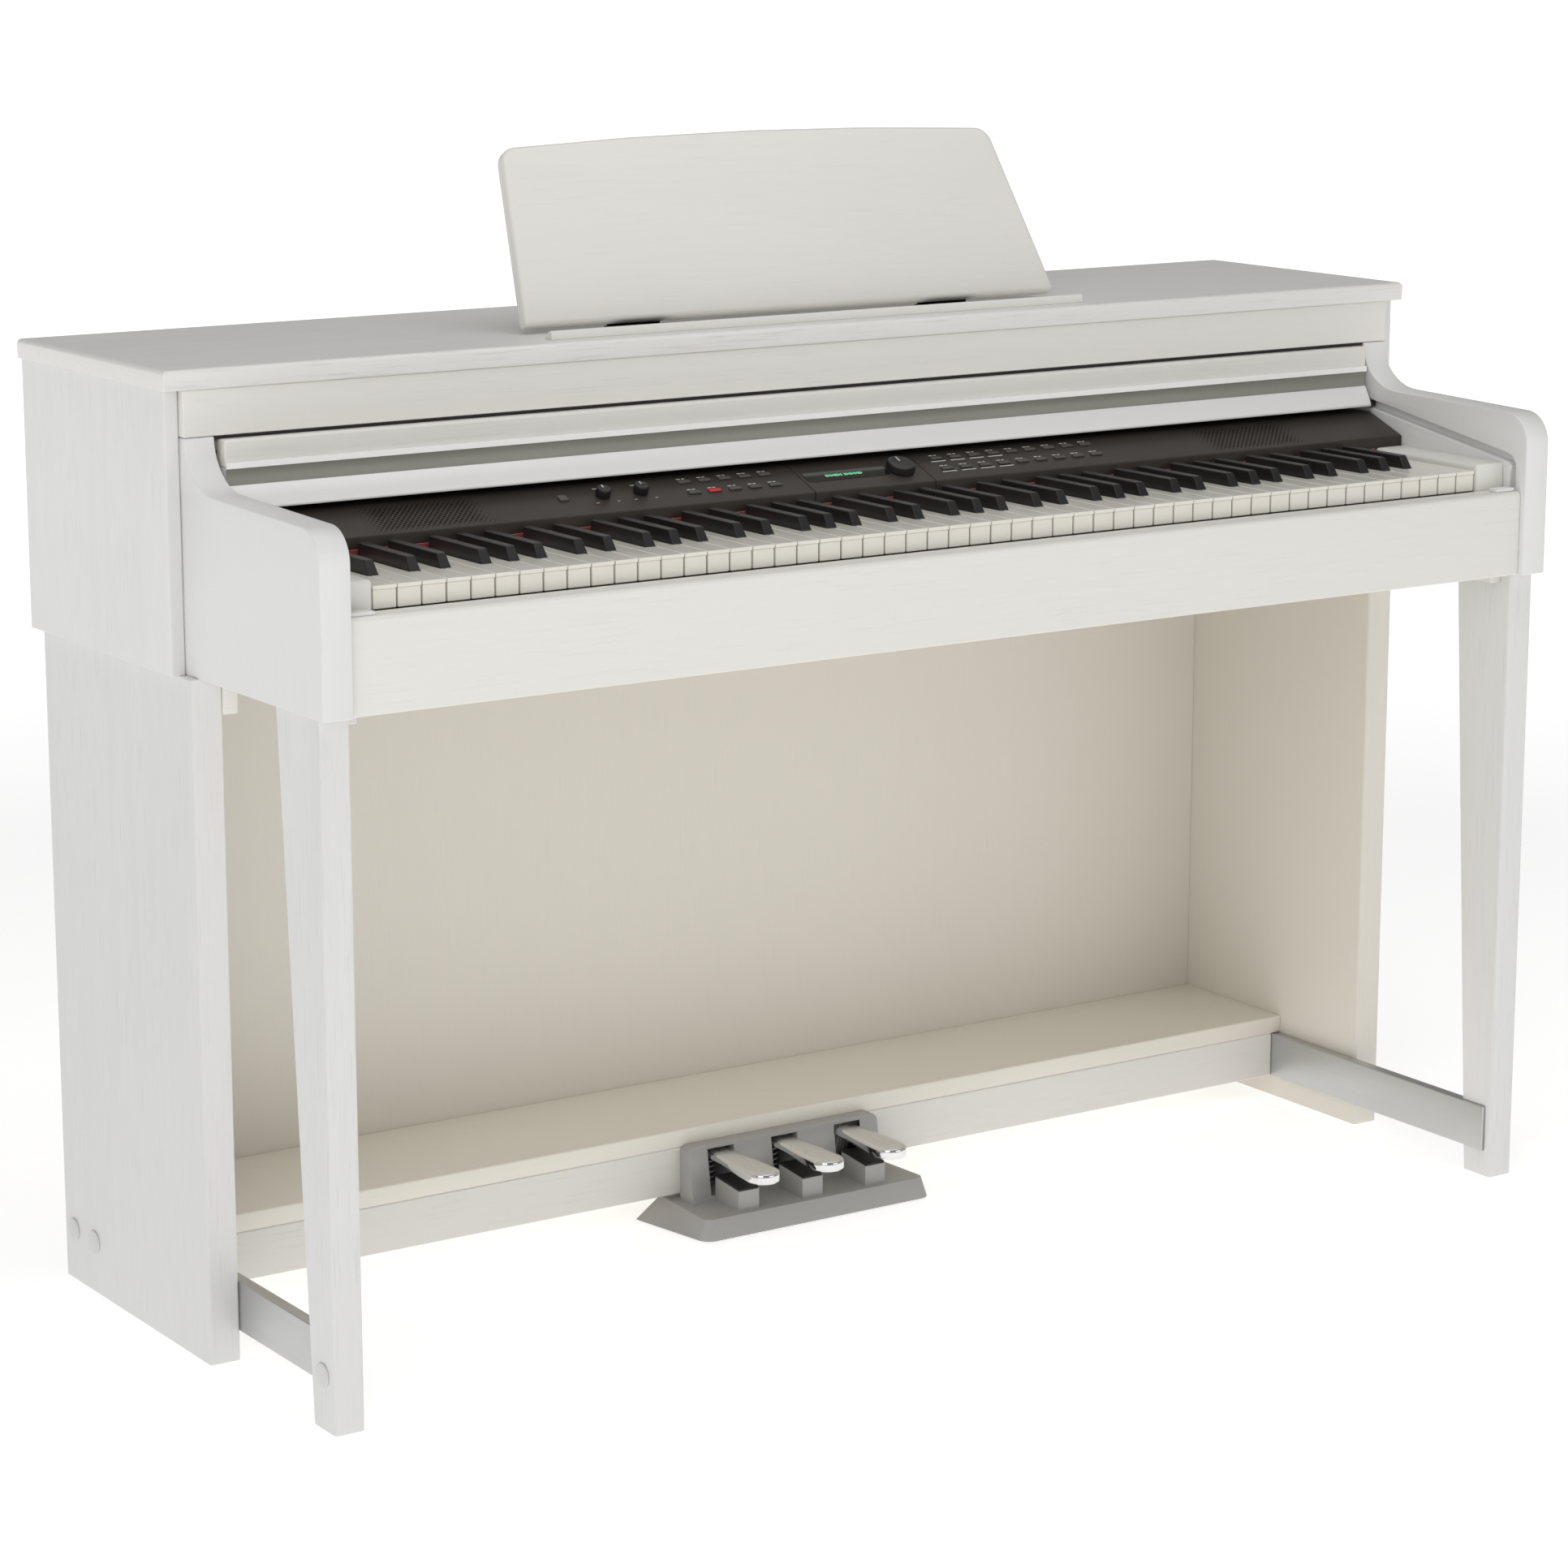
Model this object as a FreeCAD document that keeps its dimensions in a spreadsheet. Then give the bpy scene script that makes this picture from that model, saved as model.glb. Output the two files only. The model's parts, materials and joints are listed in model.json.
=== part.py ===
import FreeCAD, Part
import math
import os
import Sketcher

# Digital piano on its stand.  +X is the treble side, +Y the back, +Z up, millimetres.
# The origin is on the floor under the middle of the cabinet.
os.makedirs("parts", exist_ok=True)
doc = FreeCAD.newDocument("digital_piano")
sheet = doc.addObject("Spreadsheet::Sheet", "Dims")

DIMS = [
    # overall
    ("body_width", 1392), ("body_depth", 545), ("lid_top", 888), ("key_top", 725),
    # cabinet boards
    ("lid_thick", 18), ("lid_side_lap", 4), ("side_thick", 15), ("case_bottom", 622),
    ("arm_thick", 29), ("arm_round", 30), ("arm_top", 780), ("sweep_deep", 52), ("bed_thick", 18),
    ("back_thick", 14), ("fascia_front", -28.5), ("fascia_thick", 18), ("fascia_bottom", 829),
    ("slip_inset", 6), ("slip_thick", 24), ("slip_top", 705), ("fit_gap", 0.4),
    # stand
    ("leg_thick", 30), ("leg_inset", 12), ("leg_front", -42), ("leg_tuck", 9.5),
    ("leg_back", "=body_depth / 2 - leg_tuck"),
    ("post_thick", 29), ("post_inset", 22), ("post_front", -259.5),
    ("post_foot", 38), ("post_head", 77), ("rail_low", 27), ("rail_high", 73.5),
    ("rail_thick", 12), ("rail_front", -250), ("rail_back", 200),
    ("beam_front", 81.5), ("beam_board", 15), ("beam_top", 92), ("beam_thick", 18),
    ("rear_inset", 32), ("rear_front", "=body_depth / 2 - rear_inset"),
    ("rear_thick", 12), ("cap_radius", 11), ("cap_thick", 1.5),
    # keyboard
    ("key_pitch", 23.5), ("key_gap", 1.0), ("key_clear", 3), ("key_thick", 20),
    ("key_front", "=slip_inset + slip_thick + key_clear - body_depth / 2"),
    ("key_long", 227.5), ("key_tail", "=key_front + key_long"), ("pivot_back", 217.5),
    ("black_width", 10.5), ("black_rise", 12),
    ("black_inset", 49), ("black_front", "=key_front + black_inset"),
    ("black_back", -96), ("black_clear", 1.2), ("rest_clear", 0.6),
    # panel
    ("panel_front", -91), ("panel_rear", -42.5), ("panel_low", 741), ("panel_high", 760),
    ("panel_drop", 15), ("panel_skin", 2.5), ("centre_half", 68), ("knob_radius", 7),
    ("knob_high", 8.5), ("dial_radius", 14), ("dial_high", 8), ("button_wide", 13),
    ("button_deep", 5), ("button_rise", 1.6), ("button_clear", 0.4),
    # key cover
    ("cover_clear", 5), ("cover_slope", 8.9), ("flap_front", -38), ("flap_thick", 18),
    ("flap_low", 802), ("flap_high", 826), ("cover_thick", 9), ("cover_rear", 33.5),
    ("cover_length", "=body_depth / 2 - back_thick - cover_rear - flap_front - flap_thick"),
    ("pin_radius", 3.2), ("pin_y", -42), ("pin_z", 768), ("track_wide", 8), ("track_deep", 8),
    # music rest
    ("desk_bottom", 301), ("desk_top_half", 277), ("desk_length", 184), ("desk_thick", 15),
    ("desk_lean", 28), ("desk_y", 36), ("desk_z", 897.2), ("ledge_front", -10), ("ledge_deep", 12),
    ("ledge_high", 8),
    # pedals
    ("pedal_pitch", 75), ("pedal_tip", -28), ("pedal_top", 70), ("pedal_wide", 31),
    ("pedal_thick", 8), ("axle_y", 128), ("axle_z", 58), ("axle_radius", 3),
    ("axle_clear", 0.05), ("base_half", 133), ("base_front", 0), ("base_high", 22),
    ("plate_half", 112), ("plate_front", 65.5), ("plate_top", 77), ("plate_lean", 9),
    ("pier_front", 14), ("pier_back", 56), ("pier_low", 42), ("pier_rise", 4),
    ("pier_wide", 24), ("stop_thick", 2.5),
]
VAL = {}
for row, (name, number) in enumerate(DIMS, start=1):
    sheet.set("A%d" % row, name)
    sheet.set("B%d" % row, str(number))
    sheet.setAlias("B%d" % row, name)
doc.recompute()
for name, number in DIMS:
    VAL[name] = float(sheet.get(name))
PARTS = []


def E(text):
    """Turn names from the sheet into an expression FreeCAD can bind."""
    out = ""
    word = ""
    for letter in str(text) + " ":
        if letter.isalnum() or letter == "_":
            word += letter
            continue
        out += "Dims." + word if word in VAL else word
        word = ""
        out += letter
    return out.strip()


def N(text):
    """The present value of the same text, found through the sheet."""
    probe = doc.getObject("Probe") or doc.addObject("App::FeaturePython", "Probe")
    if not hasattr(probe, "Value"):
        probe.addProperty("App::PropertyFloat", "Value")
    return float(probe.evalExpression(E(text)))


def keep(obj, label):
    obj.Label = label
    PARTS.append((label, obj))
    return obj


def box(label, x0, x1, y0, y1, z0, z1, final=True):
    solid = doc.addObject("Part::Box", "Box_" + label)
    solid.setExpression("Length", E("(%s) - (%s)" % (x1, x0)))
    solid.setExpression("Width", E("(%s) - (%s)" % (y1, y0)))
    solid.setExpression("Height", E("(%s) - (%s)" % (z1, z0)))
    solid.setExpression("Placement.Base.x", E(x0))
    solid.setExpression("Placement.Base.y", E(y0))
    solid.setExpression("Placement.Base.z", E(z0))
    return keep(solid, label) if final else solid


def rod(label, axis, x, y, z, radius, length, final=True):
    solid = doc.addObject("Part::Cylinder", "Rod_" + label)
    solid.setExpression("Radius", E(radius))
    solid.setExpression("Height", E(length))
    turn = {"x": FreeCAD.Rotation(FreeCAD.Vector(0, 1, 0), 90),
            "y": FreeCAD.Rotation(FreeCAD.Vector(1, 0, 0), -90),
            "z": FreeCAD.Rotation()}[axis]
    solid.Placement = FreeCAD.Placement(FreeCAD.Vector(0, 0, 0), turn)
    solid.setExpression("Placement.Base.x", E(x))
    solid.setExpression("Placement.Base.y", E(y))
    solid.setExpression("Placement.Base.z", E(z))
    return keep(solid, label) if final else solid


def cut(label, base, tool, final=True):
    made = doc.addObject("Part::Cut", "Cut_" + label)
    made.Base = base
    made.Tool = tool
    return keep(made, label) if final else made


def fuse(label, shapes, final=True):
    made = doc.addObject("Part::MultiFuse", "Fuse_" + label)
    made.Shapes = shapes
    return keep(made, label) if final else made


def group(label, shapes):
    made = doc.addObject("Part::Compound", "Group_" + label)
    made.Links = shapes
    return keep(made, label)


def body(label, final=True):
    made = doc.addObject("PartDesign::Body", "Body_" + label)
    doc.recompute()
    return keep(made, label) if final else made


def plane(owner, role):
    for feature in owner.Origin.OriginFeatures:
        if feature.Role == role:
            return feature
    return None


def outline(owner, name, role, points, offset="0", arcs=()):
    """A closed sketch through points given as texts; arcs maps corner to radius text."""
    sketch = owner.newObject("Sketcher::SketchObject", name)
    sketch.AttachmentSupport = [(plane(owner, role), "")]
    sketch.MapMode = "FlatFace"
    sketch.setExpression("AttachmentOffset.Base.z", E(offset))
    spots = [FreeCAD.Vector(N(u), N(v), 0) for u, v in points]
    count = len(spots)
    for i in range(count):
        sketch.addGeometry(Part.LineSegment(spots[i], spots[(i + 1) % count]), False)
    for i in range(count):
        sketch.addConstraint(Sketcher.Constraint("Coincident", i, 2, (i + 1) % count, 1))
    for i, (u, v) in enumerate(points):
        k = sketch.addConstraint(Sketcher.Constraint("DistanceX", -1, 1, i, 1, spots[i].x))
        sketch.setExpression("Constraints[%d]" % k, E(u))
        k = sketch.addConstraint(Sketcher.Constraint("DistanceY", -1, 1, i, 1, spots[i].y))
        sketch.setExpression("Constraints[%d]" % k, E(v))
    return sketch


def pad(owner, name, role, points, offset, length):
    sketch = outline(owner, name + "_sketch", role, points, offset)
    made = owner.newObject("PartDesign::Pad", name)
    made.Profile = sketch
    made.setExpression("Length", E(length))
    owner.Tip = made
    return made


def pocket(owner, name, role, points, offset, length):
    """Cut from the offset plane along its normal for the given length."""
    sketch = outline(owner, name + "_sketch", role, points, offset)
    made = owner.newObject("PartDesign::Pocket", name)
    made.Profile = sketch
    made.Reversed = True
    made.setExpression("Length", E(length))
    owner.Tip = made
    return made


def soften(owner, name, radius, pick):
    """Round the edges of the tip whose middle point passes the pick test."""
    doc.recompute()
    tip = owner.Tip
    names = []
    for i, edge in enumerate(tip.Shape.Edges, start=1):
        middle = edge.valueAt((edge.FirstParameter + edge.LastParameter) / 2.0)
        if pick(edge, middle):
            names.append("Edge%d" % i)
    made = owner.newObject("PartDesign::Fillet", name)
    made.Base = (tip, names)
    made.setExpression("Radius", E(radius))
    owner.Tip = made
    return made


def along(edge, axis):
    if edge.Curve.TypeId != "Part::GeomLine":
        return False
    way = edge.Curve.Direction
    return abs(getattr(way, axis)) > 0.999


# ---------------------------------------------------------------- shared edges
HALF = "body_width / 2 - lid_side_lap"
IN_SIDE = "(%s - side_thick)" % HALF
IN_ARM = "(%s - side_thick - arm_thick)" % HALF
COVER_HALF = "(%s - cover_clear)" % IN_ARM
FRONT = "(0 - body_depth / 2)"
REAR = "(body_depth / 2)"
CASE_TOP = "(lid_top - lid_thick)"
BED_TOP = "(case_bottom + bed_thick)"
LEG_OUT = "(body_width / 2 - leg_inset)"
LEG_IN = "(%s - leg_thick)" % LEG_OUT
POST_OUT = "(body_width / 2 - post_inset)"
POST_IN = "(%s - post_thick)" % POST_OUT
RAIL_IN = "(%s - rail_thick)" % LEG_IN
SLIP_FRONT = "(%s + slip_inset)" % FRONT
SLIP_BACK = "(%s + slip_inset + slip_thick)" % FRONT
PIVOT = "(key_front + pivot_back)"
KEY_LOW = "(key_top - key_thick)"


def span(a, b, side):
    """Two x texts in rising order for the treble (+1) or bass (-1) side."""
    return (a, b) if side > 0 else ("0 - (%s)" % b, "0 - (%s)" % a)


# ---------------------------------------------------------------- stand
for side, name in ((-1, "left"), (1, "right")):
    x0, x1 = span(LEG_IN, LEG_OUT, side)
    leg = body(name + "_leg_panel")
    pad(leg, name + "_leg_pad", "YZ_Plane",
        [("leg_front", "0"), ("leg_back", "0"), ("leg_back", "case_bottom"),
         ("leg_front", "case_bottom")], x0, "leg_thick")
    soften(leg, name + "_leg_round", "3",
           lambda e, p: along(e, "z") and p.y < 0)
    x0, x1 = span(POST_IN, POST_OUT, side)
    post = body(name + "_front_leg")
    pad(post, name + "_post_pad", "YZ_Plane",
        [("post_front", "0"), ("post_front + post_foot", "0"),
         ("post_front + post_head", "case_bottom"), ("post_front", "case_bottom")],
        x0, "post_thick")
    r0, r1 = span(POST_IN, LEG_IN, side)
    pocket(post, name + "_post_notch", "YZ_Plane",
           [("rail_front", "rail_low"), ("post_front + post_head", "rail_low"),
            ("post_front + post_head", "rail_high"), ("rail_front", "rail_high")],
           r0, "(%s) - (%s)" % (LEG_IN, POST_IN))
    soften(post, name + "_post_round", "3",
           lambda e, p: along(e, "z") and p.y < VAL["post_front"] + 2)

rails = []
for side, name in ((-1, "bass"), (1, "treble")):
    x0, x1 = span(RAIL_IN, LEG_IN, side)
    rails.append(box("rail_" + name, x0, x1, "rail_front", "rail_back",
                     "rail_low", "rail_high", False))
group("foot_rails", rails)

rear = body("back_panel")
pad(rear, "back_panel_pad", "XZ_Plane",
    [("0 - " + LEG_IN, "rail_low"), (LEG_IN, "rail_low"), (LEG_IN, "case_bottom"),
     ("0 - " + LEG_IN, "case_bottom")], "0 - rear_front - rear_thick", "rear_thick")
box("beam_top", "0 - " + LEG_IN, LEG_IN, "beam_front", "rear_front",
    "beam_top - beam_thick", "beam_top")
front_board = body("beam_front")
pad(front_board, "beam_front_pad", "XZ_Plane",
    [("0 - " + RAIL_IN, "rail_low"), ("0 - plate_half + 2", "rail_low"),
     ("0 - plate_half + 2", "rail_high - 3"), ("plate_half - 2", "rail_high - 3"),
     ("plate_half - 2", "rail_low"), (RAIL_IN, "rail_low"),
     (RAIL_IN, "beam_top - beam_thick"), ("0 - " + RAIL_IN, "beam_top - beam_thick")],
    "0 - beam_front - beam_board", "beam_board")

caps = []
for side, name in ((-1, "bass"), (1, "treble")):
    x_leg = LEG_OUT if side > 0 else "0 - %s - cap_thick" % LEG_OUT
    x_post = POST_OUT if side > 0 else "0 - %s - cap_thick" % POST_OUT
    caps.append(rod("cap_a_" + name, "x", x_leg, "leg_back - 65", "50",
                    "cap_radius", "cap_thick", False))
    caps.append(rod("cap_b_" + name, "x", x_leg, "leg_back - 20", "50",
                    "cap_radius", "cap_thick", False))
    caps.append(rod("cap_c_" + name, "x", x_post, "post_front + 20", "50",
                    "cap_radius", "cap_thick", False))
group("bolt_caps", caps)

cleats = []
for side, name in ((-1, "bass"), (1, "treble")):
    x0, x1 = span(LEG_IN + " - 15", LEG_IN, side)
    cleats.append(box("cleat_" + name, x0, x1, "leg_front", "rear_front",
                      "case_bottom - 34", "case_bottom", False))
    x0, x1 = span(POST_IN + " - 14", POST_IN, side)
    cleats.append(box("bracket_" + name, x0, x1, "post_front + 14", "post_front + 50",
                      "case_bottom - 10", "case_bottom", False))
group("leg_brackets", cleats)

# ---------------------------------------------------------------- cabinet
lid = body("top_lid")
pad(lid, "lid_pad", "XY_Plane",
    [("0 - body_width / 2", "fascia_front - 3"), ("body_width / 2", "fascia_front - 3"),
     ("body_width / 2", REAR), ("0 - body_width / 2", REAR)], CASE_TOP, "lid_thick")
soften(lid, "lid_round", "4",
       lambda e, p: p.z > VAL["lid_top"] - 1 and (along(e, "x") or along(e, "y")))

for side, name in ((-1, "left"), (1, "right")):
    x0, x1 = span(IN_SIDE, HALF, side)
    cheek = body(name + "_side_panel")
    pad(cheek, name + "_side_pad", "YZ_Plane",
        [("fascia_front + 8", "case_bottom"), (REAR, "case_bottom"), (REAR, CASE_TOP),
         ("fascia_front + 8", CASE_TOP)], x0, "side_thick")
    soften(cheek, name + "_side_round", "3",
           lambda e, p: along(e, "z") and p.y < 0)

    x0, x1 = span(IN_ARM, IN_SIDE, side)
    arm = body(name + "_arm")
    top = "fascia_bottom - fit_gap"
    sweep = [("fascia_front - sweep_deep + sweep_deep * cos(%d * 1deg)" % angle,
              "%s - (%s - arm_top - 4.5) * sin(%d * 1deg)" % (top, top, angle))
             for angle in range(0, 91, 9)]
    pad(arm, name + "_arm_pad", "YZ_Plane",
        [(FRONT, "case_bottom"), (REAR + " - back_thick", "case_bottom"),
         (REAR + " - back_thick", "arm_top"), ("fascia_front + fascia_thick + 2", "arm_top"),
         ("fascia_front + fascia_thick + 2", top)] + sweep + [(FRONT, "arm_top")],
        x0, "arm_thick")
    soften(arm, name + "_arm_nose", "arm_round",
           lambda e, p: along(e, "x") and p.y < VAL["body_depth"] * -0.5 + 1
           and p.z > VAL["arm_top"] - 5)
    # curved groove for the cover's guide pins
    run = "(0 - %s - slip_inset + pin_y - 13)" % FRONT
    low = "(pin_z - %s * tan(cover_slope * 1deg))" % run
    u0 = "pin_y + 16"
    v0 = "(pin_z + 16 * tan(cover_slope * 1deg))"
    u1 = "(pin_y - %s)" % run
    half = "track_wide / 2"
    g0 = IN_ARM if side > 0 else "0 - %s - track_deep" % IN_ARM
    pocket(arm, name + "_arm_groove", "YZ_Plane",
           [(u0, v0 + " + " + half), (u0, v0 + " - " + half),
            (u1 + " + 6", low + " + 6 * tan(cover_slope * 1deg) - " + half),
            (u1 + " + 1.5", low + " - 7"), (u1 + " + " + half, low + " - 14"),
            (u1 + " + " + half, "slip_top"), (u1 + " - " + half, "slip_top"),
            (u1 + " - " + half, low + " - 12"), (u1 + " - 3", low + " - 4"),
            (u1 + " + 2", low + " + 3"),
            (u1 + " + 10", low + " + 10 * tan(cover_slope * 1deg) + " + half)],
           g0, "track_deep")

box("fascia", "0 - " + IN_SIDE, IN_SIDE, "fascia_front", "fascia_front + fascia_thick",
    "fascia_bottom", CASE_TOP)
box("keybed", "0 - " + IN_ARM, IN_ARM, SLIP_BACK, REAR + " - back_thick",
    "case_bottom", BED_TOP)
slip = body("key_slip")
pad(slip, "slip_pad", "XY_Plane",
    [("0 - " + IN_ARM, SLIP_FRONT), (IN_ARM, SLIP_FRONT), (IN_ARM, SLIP_BACK),
     ("0 - " + IN_ARM, SLIP_BACK)], "case_bottom", "slip_top - case_bottom")
soften(slip, "slip_round", "4",
       lambda e, p: along(e, "x") and p.z > VAL["slip_top"] - 1 and p.y < N(SLIP_BACK) - 5)
back = body("cabinet_back")
pad(back, "cabinet_back_pad", "XZ_Plane",
    [("0 - " + IN_SIDE, "case_bottom"), (IN_SIDE, "case_bottom"), (IN_SIDE, CASE_TOP),
     ("0 - " + IN_SIDE, CASE_TOP)], "0 - " + REAR, "back_thick")
pocket(back, "jack_window", "XZ_Plane",
       [("0 - 520", "660"), ("0 - 380", "660"), ("0 - 380", "700"), ("0 - 520", "700")],
       "0 - " + REAR, "back_thick")
plate = box("jack_plate_blank", "0 - 520", "0 - 380", REAR + " - 8", REAR + " - 4",
            "660", "700", False)
jacks = []
for i, place in enumerate(("0 - 505", "0 - 480", "0 - 455", "0 - 430", "0 - 405")):
    jacks.append(rod("jack_%d" % i, "y", place, REAR + " - 9", "680",
                     "3" if i else "4.5", "6", False))
cut("jack_panel", plate, fuse("jack_holes", jacks, False))

# ---------------------------------------------------------------- keyboard
OCTAVE = "C D E F G A B".split()
SHIFT = {"C": -3.0, "D": 3.0, "F": -4.0, "G": 0.0, "A": 4.0}
WHITE = []
step = VAL["key_pitch"]
names = (["A", "B"] + OCTAVE * 7 + ["C"])
for i, letter in enumerate(names):
    WHITE.append((letter, -26 * step + i * step, i))
gap = VAL["key_gap"] / 2.0
half_black = VAL["black_width"] / 2.0
clear = VAL["black_clear"]
SINGLE = {23: "key_c4", 24: "key_d4", 25: "key_e4"}
SINGLE_BLACK = {23: "key_c_sharp4", 24: "key_d_sharp4"}


def black_centre(index):
    letter, x, i = WHITE[index]
    return x + step + SHIFT[letter]


def has_black(index):
    return 0 <= index < len(WHITE) - 1 and WHITE[index][0] in SHIFT


def white_points(index):
    letter, x, i = WHITE[index]
    left = x + gap
    right = x + step - gap
    tail_left = left
    tail_right = right
    if has_black(index - 1):
        tail_left = black_centre(index - 1) + half_black + clear
    if has_black(index):
        tail_right = black_centre(index) - half_black - clear
    return left, right, tail_left, tail_right


low = VAL["key_top"] - VAL["key_thick"]
neck = VAL["black_front"] - 2.0
whites = []
for index in range(len(WHITE)):
    left, right, tail_left, tail_right = white_points(index)
    if index in SINGLE:
        key = body(SINGLE[index])
        num = "%.4f"
        centre = index - 26
        edge = "(key_pitch * %d)" % centre
        xl = "%s + key_gap / 2" % edge
        xr = "%s + key_pitch - key_gap / 2" % edge
        tl = xl
        tr = xr
        if has_black(index - 1):
            tl = "%s + %s + black_width / 2 + black_clear" % (edge, SHIFT[WHITE[index - 1][0]])
        if has_black(index):
            tr = "%s + key_pitch + %s - black_width / 2 - black_clear" % (
                edge, SHIFT[WHITE[index][0]])
        pts = [(xl, "key_front"), (xr, "key_front"), (xr, "black_front - 2")]
        if has_black(index):
            pts.append((tr, "black_front - 2"))
        pts += [(tr, "key_tail"), (tl, "key_tail")]
        if has_black(index - 1):
            pts.append((tl, "black_front - 2"))
        pts.append((xl, "black_front - 2"))
        pad(key, SINGLE[index] + "_pad", "XY_Plane", pts, KEY_LOW, "key_thick")
        continue
    pts = [(left, VAL["key_front"]), (right, VAL["key_front"]), (right, neck),
           (tail_right, neck), (tail_right, VAL["key_tail"]), (tail_left, VAL["key_tail"]),
           (tail_left, neck), (left, neck)]
    clean = []
    for p in pts:
        if not clean or math.hypot(p[0] - clean[-1][0], p[1] - clean[-1][1]) > 1e-6:
            clean.append(p)
    wire = Part.makePolygon([FreeCAD.Vector(p[0], p[1], low) for p in clean + [clean[0]]])
    whites.append(Part.Face(wire).extrude(FreeCAD.Vector(0, 0, VAL["key_thick"])))
white_keys = doc.addObject("Part::Feature", "white_keys")
white_keys.Shape = Part.makeCompound(whites)
keep(white_keys, "white_keys")

top = VAL["key_top"] + VAL["black_rise"]
blacks = []
for index in range(len(WHITE) - 1):
    if not has_black(index):
        continue
    if index in SINGLE_BLACK:
        key = body(SINGLE_BLACK[index])
        middle = "(key_pitch * %d + %s)" % (index - 25, SHIFT[WHITE[index][0]])
        pad(key, SINGLE_BLACK[index] + "_pad", "YZ_Plane",
            [("black_front", KEY_LOW), ("key_tail", KEY_LOW), ("key_tail", "key_top - 6"),
             ("black_back", "key_top - 6"), ("black_back", "key_top + black_rise"),
             ("black_front + 5", "key_top + black_rise"), ("black_front", "key_top")],
            "%s - black_width / 2" % middle, "black_width")
        continue
    c = black_centre(index)
    prof = [(VAL["black_front"], low), (VAL["key_tail"], low),
            (VAL["key_tail"], VAL["key_top"] - 6), (VAL["black_back"], VAL["key_top"] - 6),
            (VAL["black_back"], top), (VAL["black_front"] + 5, top),
            (VAL["black_front"], VAL["key_top"])]
    wire = Part.makePolygon([FreeCAD.Vector(c - half_black, p[0], p[1]) for p in prof + [prof[0]]])
    blacks.append(Part.Face(wire).extrude(FreeCAD.Vector(VAL["black_width"], 0, 0)))
black_keys = doc.addObject("Part::Feature", "black_keys")
black_keys.Shape = Part.makeCompound(blacks)
keep(black_keys, "black_keys")

frame = body("key_frame")
KEYS_HALF = "(key_pitch * 26)"
pad(frame, "key_frame_pad", "YZ_Plane",
    [("key_front + 12", BED_TOP), (PIVOT + " + 8", BED_TOP),
     (PIVOT + " + 3", KEY_LOW + " - rest_clear"), (PIVOT + " - 3", KEY_LOW + " - rest_clear"),
     (PIVOT + " - 8", BED_TOP + " + 6"), ("key_front + 40", BED_TOP + " + 6"),
     ("key_front + 36", KEY_LOW + " - 22"), ("key_front + 24", KEY_LOW + " - 22"),
     ("key_front + 20", BED_TOP + " + 6"), ("key_front + 12", BED_TOP + " + 6")],
    "0 - %s" % KEYS_HALF, "key_pitch * 52")
box("felt_strip", "0 - " + KEYS_HALF, KEYS_HALF, "panel_front - 2.5", "panel_front",
    "key_top + 0.8", "key_top + 5")
blocks = []
for side, name in ((-1, "bass"), (1, "treble")):
    x0, x1 = span(KEYS_HALF + " + 0.8", IN_ARM, side)
    blocks.append(box("block_" + name, x0, x1, "key_front - 2", "panel_front",
                      BED_TOP, "key_top + 6", False))
group("key_blocks", blocks)
pads = []
for side, name in ((-1, "bass"), (1, "treble")):
    x0, x1 = span(IN_ARM + " - 28", IN_ARM + " - 4", side)
    pads.append(box("bumper_" + name, x0, x1, SLIP_FRONT + " + 5", SLIP_BACK + " - 8",
                    "slip_top", "slip_top + 3.5", False))
group("slip_bumpers", pads)

# ---------------------------------------------------------------- control panel
tilt = "atan((panel_high - panel_low) / (panel_rear - panel_front))"


def on_panel(y):
    """Height text of the sloping panel face at a given y text."""
    return ("(panel_low + ((%s) - panel_front) * (panel_high - panel_low)"
            " / (panel_rear - panel_front))" % y)


LEG_Y = "(key_tail + 8.5)"
PANEL_PROFILE = [("panel_front", "panel_low - panel_drop"), ("panel_front", "panel_low"),
                 ("panel_rear", "panel_high"), (LEG_Y + " + 3", "panel_high"),
                 (LEG_Y + " + 3", BED_TOP), (LEG_Y, BED_TOP),
                 (LEG_Y, "panel_high - panel_skin - 1"),
                 ("panel_rear", "panel_high - panel_skin - 1"),
                 ("panel_front + panel_skin", "panel_low - panel_skin - 1"),
                 ("panel_front + panel_skin", "panel_low - panel_drop")]
BUTTON_LEFT = [(-189.5 + 22.0 * i, 0) for i in range(5)] + [(-189.5 + 22.0 * i, 1) for i in range(5)]
BUTTON_RIGHT = [(93.5 + 22.2 * i, r) for r in (0, 1) for i in range(9)]
ROW_Y = ("panel_front + 36.5", "panel_front + 18")


def tilted(solid, x, y, z):
    """Lay a solid on the panel slope with its own z along the panel's normal."""
    solid.Placement = FreeCAD.Placement(FreeCAD.Vector(0, 0, 0),
                                        FreeCAD.Rotation(FreeCAD.Vector(1, 0, 0), 10))
    solid.setExpression("Placement.Rotation.Angle", tilt_expr)
    solid.setExpression("Placement.Base.x", E(x))
    solid.setExpression("Placement.Base.y", E(y))
    solid.setExpression("Placement.Base.z", E(z))
    return solid


tilt_expr = E(tilt)


def cap_box(name, x, y, wide, deep, rise, sink):
    """A key cap on the slope: its corner is set back so that it is centred on x, y."""
    solid = doc.addObject("Part::Box", name)
    solid.setExpression("Length", E(wide))
    solid.setExpression("Width", E(deep))
    solid.setExpression("Height", E("(%s) + (%s)" % (rise, sink)))
    run = "cos(%s)" % tilt
    lift = "sin(%s)" % tilt
    yy = "(%s) - (%s) / 2 * %s + (%s) * %s" % (y, deep, run, sink, lift)
    zz = "%s - (%s) / 2 * %s - (%s) * %s" % (on_panel(y), deep, lift, sink, run)
    return tilted(solid, "(%s) - (%s) / 2" % (x, wide), yy, zz)


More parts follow.
